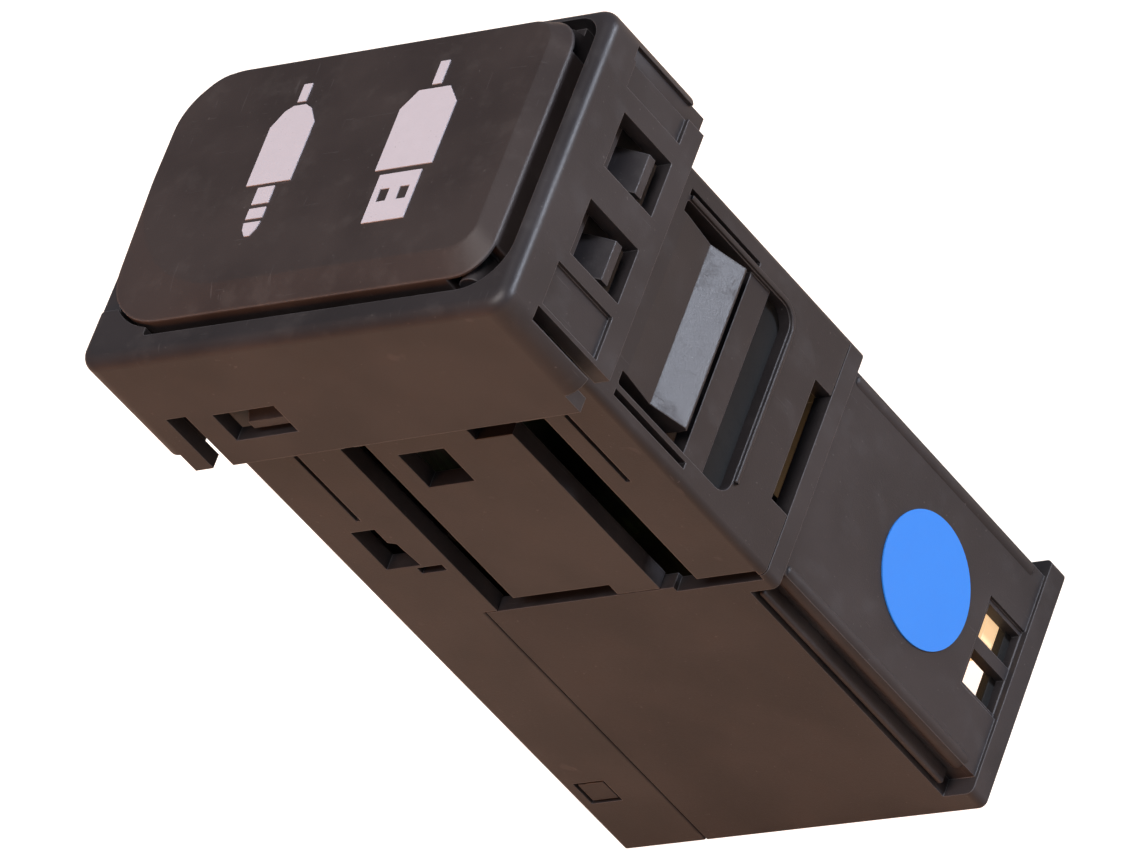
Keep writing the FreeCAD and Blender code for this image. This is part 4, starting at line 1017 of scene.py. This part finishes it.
@dataclass
class CornerRails(Detail):
    """Round bead and thin ridge along each stepped corner of the rear cover."""

    SLOT: ClassVar[str] = "cover_plastic"

    rear: float = 3.1
    front: float = 28.3
    bead_radius: float = 0.78
    bead_sides: int = 32
    bead_side_inset: float = 0.92
    bead_floor_inset: float = 2.15
    bead_rounding: float = 0.45
    bead_segments: int = 4
    ridge_side_inset: float = 2.05
    ridge_width: float = 0.5
    ridge_floor_inset: float = 0.3
    ridge_height: float = 1.4
    ridge_setback: float = 0.4
    ridge_rounding: float = 0.16
    ridge_segments: int = 3

    def _bead(self, cover: Box) -> bpy.types.Object:
        """The round bead of the lower corner.

        Args:
            cover: box of the rear cover.

        Returns:
            The bead.
        """
        middle = (cover.high.x - self.bead_side_inset, cover.low.y + self.bead_floor_inset,
                  (self.rear + self.front) / 2)
        bead = Bench.rod("corner_bead_low", middle, self.bead_radius, self.front - self.rear,
                         self.bead_sides)
        Bench.bevel(bead, self.bead_rounding, lambda spot, along: abs(along.z) < ACROSS,
                    self.bead_segments)
        return bead

    def _ridge(self, cover: Box) -> bpy.types.Object:
        """The thin ridge of the lower corner.

        Args:
            cover: box of the rear cover.

        Returns:
            The ridge.
        """
        side = cover.high.x - self.ridge_side_inset
        floor = cover.low.y + self.ridge_floor_inset
        ridge = Bench.block("corner_ridge_low", (side - self.ridge_width, floor, self.rear),
                            (side, floor + self.ridge_height, self.front - self.ridge_setback))
        Bench.bevel(ridge, self.ridge_rounding, lambda spot, along: True, self.ridge_segments)
        return ridge

    def build(self) -> None:
        """Model the lower pair and mirror it to the upper corner."""
        cover = Box.of("rear_cover")
        for piece in (self._bead(cover), self._ridge(cover)):
            upper = piece.name.replace("low", "high")
            self.hand_in(piece, Bench.twin(piece, upper, flip=Flip.UPWARD))


@dataclass
class LatchBorders(Detail):
    """Raised lip round the upper and rear edges of each latch pocket."""

    rise: float = 0.22
    root: float = 0.3
    width: float = 0.42
    corner: float = 1.75
    corner_segments: int = 8
    bottom: float = -8.9
    top: float = 8.45
    clearance: float = 1.35
    length: float = 14.85
    open_end: float = 0.6
    rounding: float = 0.1

    def build(self) -> None:
        """Shape a rounded frame, cut it to its two sides and mirror it."""
        cover = Box.of("rear_cover").high
        rear = cover.z + self.clearance
        front = rear + self.length
        crest = cover.x + self.rise
        lip = Bench.block("latch_border_right",
                          (cover.x - self.root, self.bottom - self.width, rear - self.width),
                          (crest, self.top + self.width, front))
        Bench.bevel(lip, self.corner + self.width,
                    lambda spot, along: abs(along.x) > SQUARE_ON and spot.z < (rear + front) / 2,
                    self.corner_segments)
        Bench.hollow(lip, self.width, lambda spot, facing: abs(facing.x) > SQUARE_ON)
        Bench.bevel(lip, self.rounding, lambda spot, along: spot.x > crest - EDGE_REACH)
        Bench.cut(lip, (0.0, 0.0, front - self.open_end), (0.0, 0.0, 1.0))
        Bench.cut(lip, (0.0, self.bottom + self.corner, 0.0), (0.0, -1.0, 0.0))
        self.hand_in(lip, Bench.twin(lip, "latch_border_left", flip=Flip.SIDEWAYS))


@dataclass
class LidRibs(Detail):
    """Stiffening ribs under the lid, seen when it is open."""

    BODY: ClassVar[Body] = Body.DOOR
    SLOT: ClassVar[str] = "lid_plastic"

    count: int = 4
    first: float = -12.6
    pitch: float = 7.6
    thickness: float = 0.7
    margin: float = 1.0
    low_level: float = 66.1
    height: float = 1.1
    lean: float = 0.0195
    rounding: float = 0.15
    free_edge: float = 67.2

    def build(self) -> None:
        """Model the ribs along the lean of the lid."""
        lid = Box.of("lid")
        high_side = Box.of("bezel").high.x
        for number in range(self.count):
            across = self.first + number * self.pitch
            level = self.low_level + (high_side - across) * self.lean
            rib = Bench.block(f"lid_rib_{number + 1}",
                              (across - self.thickness / 2, lid.low.y + self.margin, level),
                              (across + self.thickness / 2, lid.high.y - self.margin,
                               level + self.height))
            Bench.bevel(rib, self.rounding, lambda spot, along: spot.z < self.free_edge)
            self.hand_in(rib)


@dataclass
class MouthCollar(Detail):
    """Raised frame round the opening of the flat socket in its plate."""

    SLOT: ClassVar[str] = "plate_plastic"

    gap: float = 0.35
    width: float = 0.8
    root: float = 0.1
    rise: float = 0.45
    corner: float = 0.9
    corner_segments: int = 6
    rounding: float = 0.14

    def build(self) -> None:
        """Model a rounded frame with a bevelled mouth."""
        shell = Box.of("usb_shell")
        middle = shell.middle.x
        half = shell.high.x - middle + self.gap + self.width
        tall = shell.high.y + self.gap + self.width
        level = Box.of("socket_plate").high.z - self.root
        crest = level + self.rise
        collar = Bench.block("usb_mouth_collar", (middle - half, -tall, level),
                             (middle + half, tall, crest))
        Bench.bevel(collar, self.corner, lambda spot, along: abs(along.z) > SQUARE_ON,
                    self.corner_segments)
        Bench.hollow(collar, self.width, lambda spot, facing: abs(facing.z) > SQUARE_ON)
        Bench.bevel(collar, self.rounding, lambda spot, along: spot.z > crest - EDGE_REACH)
        self.hand_in(collar)


@dataclass
class ShellSprings(Detail):
    """Two bent spring fingers in the slots of the socket's shell."""

    SLOT: ClassVar[str] = "shell_metal"
    BENDS: ClassVar[tuple[Steps, ...]] = ((-0.35, -0.025), (-0.3, -0.035), (0.25, -0.03))

    offset: float = 2.2
    width: float = 1.6
    spread: float = 6.0
    outer_gap: float = 0.07
    thickness: float = 0.16
    tip: float = 3.1
    length: float = 4.8
    rounding: float = 0.03

    def build(self) -> None:
        """Bend one finger and copy it to the other slot."""
        shell = Box.of("usb_shell")
        side = shell.middle.x + self.offset
        outer = shell.high.y - self.outer_gap
        front = shell.high.z - self.tip
        finger = Bench.block("shell_spring_1", (side, outer - self.thickness, front - self.length),
                             (side + self.width, outer, front))
        Bench.pick(finger, Pick.FACE, lambda spot, facing: facing.z < -SQUARE_ON)
        for drop, back in self.BENDS:
            bpy.ops.mesh.extrude_region_move(
                TRANSFORM_OT_translate={"value": (0.0, drop * MM, back * MM)})
        Bench.done()
        Bench.bevel(finger, self.rounding, lambda spot, along: abs(along.z) > SQUARE_ON)
        self.hand_in(finger, Bench.twin(finger, "shell_spring_2", shift=(-self.spread, 0.0, 0.0)))


@dataclass
class SolderJoints(Detail):
    """Solder cones round the pin tails on the board's underside."""

    SLOT: ClassVar[str] = "can_metal"
    ROWS: ClassVar[tuple[float, ...]] = (14.2, 16.7)

    columns: int = 6
    pitch: float = 2.5
    foot_radius: float = 0.75
    tip_radius: float = 0.34
    height: float = 0.6
    sunk: float = 0.02
    sides: int = 20
    rounding: float = 0.12
    segments: int = 3

    def _cone(self, across: float, level: float) -> bpy.types.Object:
        """One rounded cone.

        Args:
            across: its place along X in millimetres.
            level: its place along Z.

        Returns:
            The cone.
        """
        bottom = Box.of("main_board").low.y
        Bench.clear()
        bpy.ops.mesh.primitive_cone_add(
            vertices=self.sides, radius1=self.foot_radius * MM, radius2=self.tip_radius * MM,
            depth=self.height * MM, rotation=(math.pi / 2, 0.0, 0.0),
            location=(across * MM, (bottom - self.height / 2 + self.sunk) * MM, level * MM))
        cone = Bench.settle("solder_joint")
        Bench.bevel(cone, self.rounding, lambda spot, along: abs(along.y) < ACROSS, self.segments)
        return cone

    def build(self) -> None:
        """Model one cone and copy it to every tail."""
        first = self.pitch / 2
        steps = [(number - (self.columns - 1) / 2) * self.pitch for number in range(self.columns)]
        cone = self._cone(first, self.ROWS[0])
        copies = [cone]
        for level in self.ROWS:
            for across in steps:
                if (across, level) != (first, self.ROWS[0]):
                    shift = (across - first, 0.0, level - self.ROWS[0])
                    copies.append(Bench.twin(cone, "solder_joint_copy", shift=shift))
        self.hand_in(Bench.join(copies, "solder_joints"))


DETAILS = (SkirtFiller, PocketWalls, WindowSill, CornerRails, LatchBorders, LidRibs, MouthCollar,
           ShellSprings, SolderJoints)


@dataclass(frozen=True)
class Lamp:
    """A square soft lamp, with its place and side in metres."""

    name: str
    place: Triple
    side: float
    power: float
    tint: Colour
    mirrored: bool = True

    def build(self, aim: Vector) -> None:
        """Hang the lamp.

        Args:
            aim: the point that it faces.
        """
        data = bpy.data.lights.new(self.name, "AREA")
        data.size = self.side
        data.energy = self.power
        data.color = self.tint
        lamp = bpy.data.objects.new(self.name, data)
        bpy.context.scene.collection.objects.link(lamp)
        lamp.location = self.place
        lamp.rotation_euler = (aim - Vector(self.place)).to_track_quat("-Z", "Y").to_euler()
        lamp.visible_glossy = self.mirrored


@dataclass
class Studio:
    """Floor, lamps and camera, in metres, with the lens and sensor in millimetres."""

    LAMPS: ClassVar[tuple[Lamp, ...]] = (
        Lamp("front_softbox", (0.2, -0.1, 0.8), 0.55, 5.8, (1.0, 0.93, 0.91)),
        Lamp("side_softbox", (0.8, 0.48, 0.06), 0.16, 6.8, (0.78, 0.85, 1.0)),
        Lamp("low_reflector", (-0.38, -0.67, 0.16), 0.5, 5.4, (1.0, 0.4, 0.15), mirrored=False),
    )

    lens: float = 301.85
    sensor: float = 36.0
    shift: tuple[float, float] = (-0.03208, -0.02419)
    eye: Triple = (0.4546, -0.3760, 0.4541)
    right: Triple = (0.77062, 0.30438, -0.55991)
    down: Triple = (-0.11768, -0.79550, -0.59442)
    nearest: float = 0.05
    farthest: float = 20.0
    floor_side: float = 4.0
    world_level: float = 0.14
    world_tint: Colour = (0.74, 0.86, 1.0)
    aim: Triple = (0.0, 0.0, 0.034)

    def build(self) -> None:
        """Make the floor, the lamps, the world and the camera."""
        self._floor()
        for lamp in self.LAMPS:
            lamp.build(Vector(self.aim))
        self._world()
        self._camera()

    def _floor(self) -> None:
        """A wide plane under the module."""
        Bench.clear()
        bpy.ops.mesh.primitive_plane_add(size=self.floor_side, location=(0.0, 0.0, 0.0))
        floor = bpy.context.active_object
        floor.name = "floor"
        floor.data.materials.append(Floor("floor_paper").build())
        floor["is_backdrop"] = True

    def _world(self) -> None:
        """Even pale surroundings."""
        world = bpy.data.worlds.new("surroundings")
        bpy.context.scene.world = world
        world.use_nodes = True
        background = world.node_tree.nodes["Background"]
        background.inputs["Color"].default_value = (*self.world_tint, 1.0)
        background.inputs["Strength"].default_value = self.world_level

    def _camera(self) -> None:
        """The camera at the photograph's viewing angle."""
        data = bpy.data.cameras.new("camera")
        data.sensor_width = self.sensor
        data.lens = self.lens
        data.shift_x, data.shift_y = self.shift
        data.clip_start = self.nearest
        data.clip_end = self.farthest
        camera = bpy.data.objects.new("camera", data)
        bpy.context.scene.collection.objects.link(camera)
        right = Vector(self.right).normalized()
        back = right.cross(-Vector(self.down)).normalized()
        up = back.cross(right)
        turn = Matrix((right, up, back)).transposed().to_4x4()
        camera.matrix_world = Matrix.Translation(Vector(self.eye)) @ turn
        bpy.context.scene.camera = camera


def dress_frame(finishes: Finishes) -> None:
    """Give every carried-over node the finish of its slot.

    Args:
        finishes: the finishes.
    """
    slots = {part["node"]: part["material_slot"] for part in frame["record"]["subparts"]}
    for name, node in frame["nodes"].items():
        finishes.coat(node, slots[name])
        LOG.info("dressed %s", name)


def write_size(rows: Iterable[tuple[str, tuple[Vector, Vector]]]) -> None:
    """Format the box of the object at the start and at the end as one line each, without writing
    them anywhere.

    Args:
        rows: names and boxes.
    """
    lines = []
    for name, (low, high) in rows:
        lines.append(json.dumps({name: [[round(v, 6) for v in low], [round(v, 6) for v in high]]}))
    "\n".join(lines) + "\n"


def main() -> None:
    """Build the looks of the module in order."""
    logging.basicConfig(level=logging.INFO, format="%(name)s: %(message)s")
    bpy.context.scene.view_settings.view_transform = "Standard"
    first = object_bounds()
    finishes = Finishes()
    dress_frame(finishes)
    for detail in DETAILS:
        detail(finishes).build()
    Studio().build()
    write_size((("cad", first), ("dressed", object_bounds())))


if __name__ == "__main__":
    main()
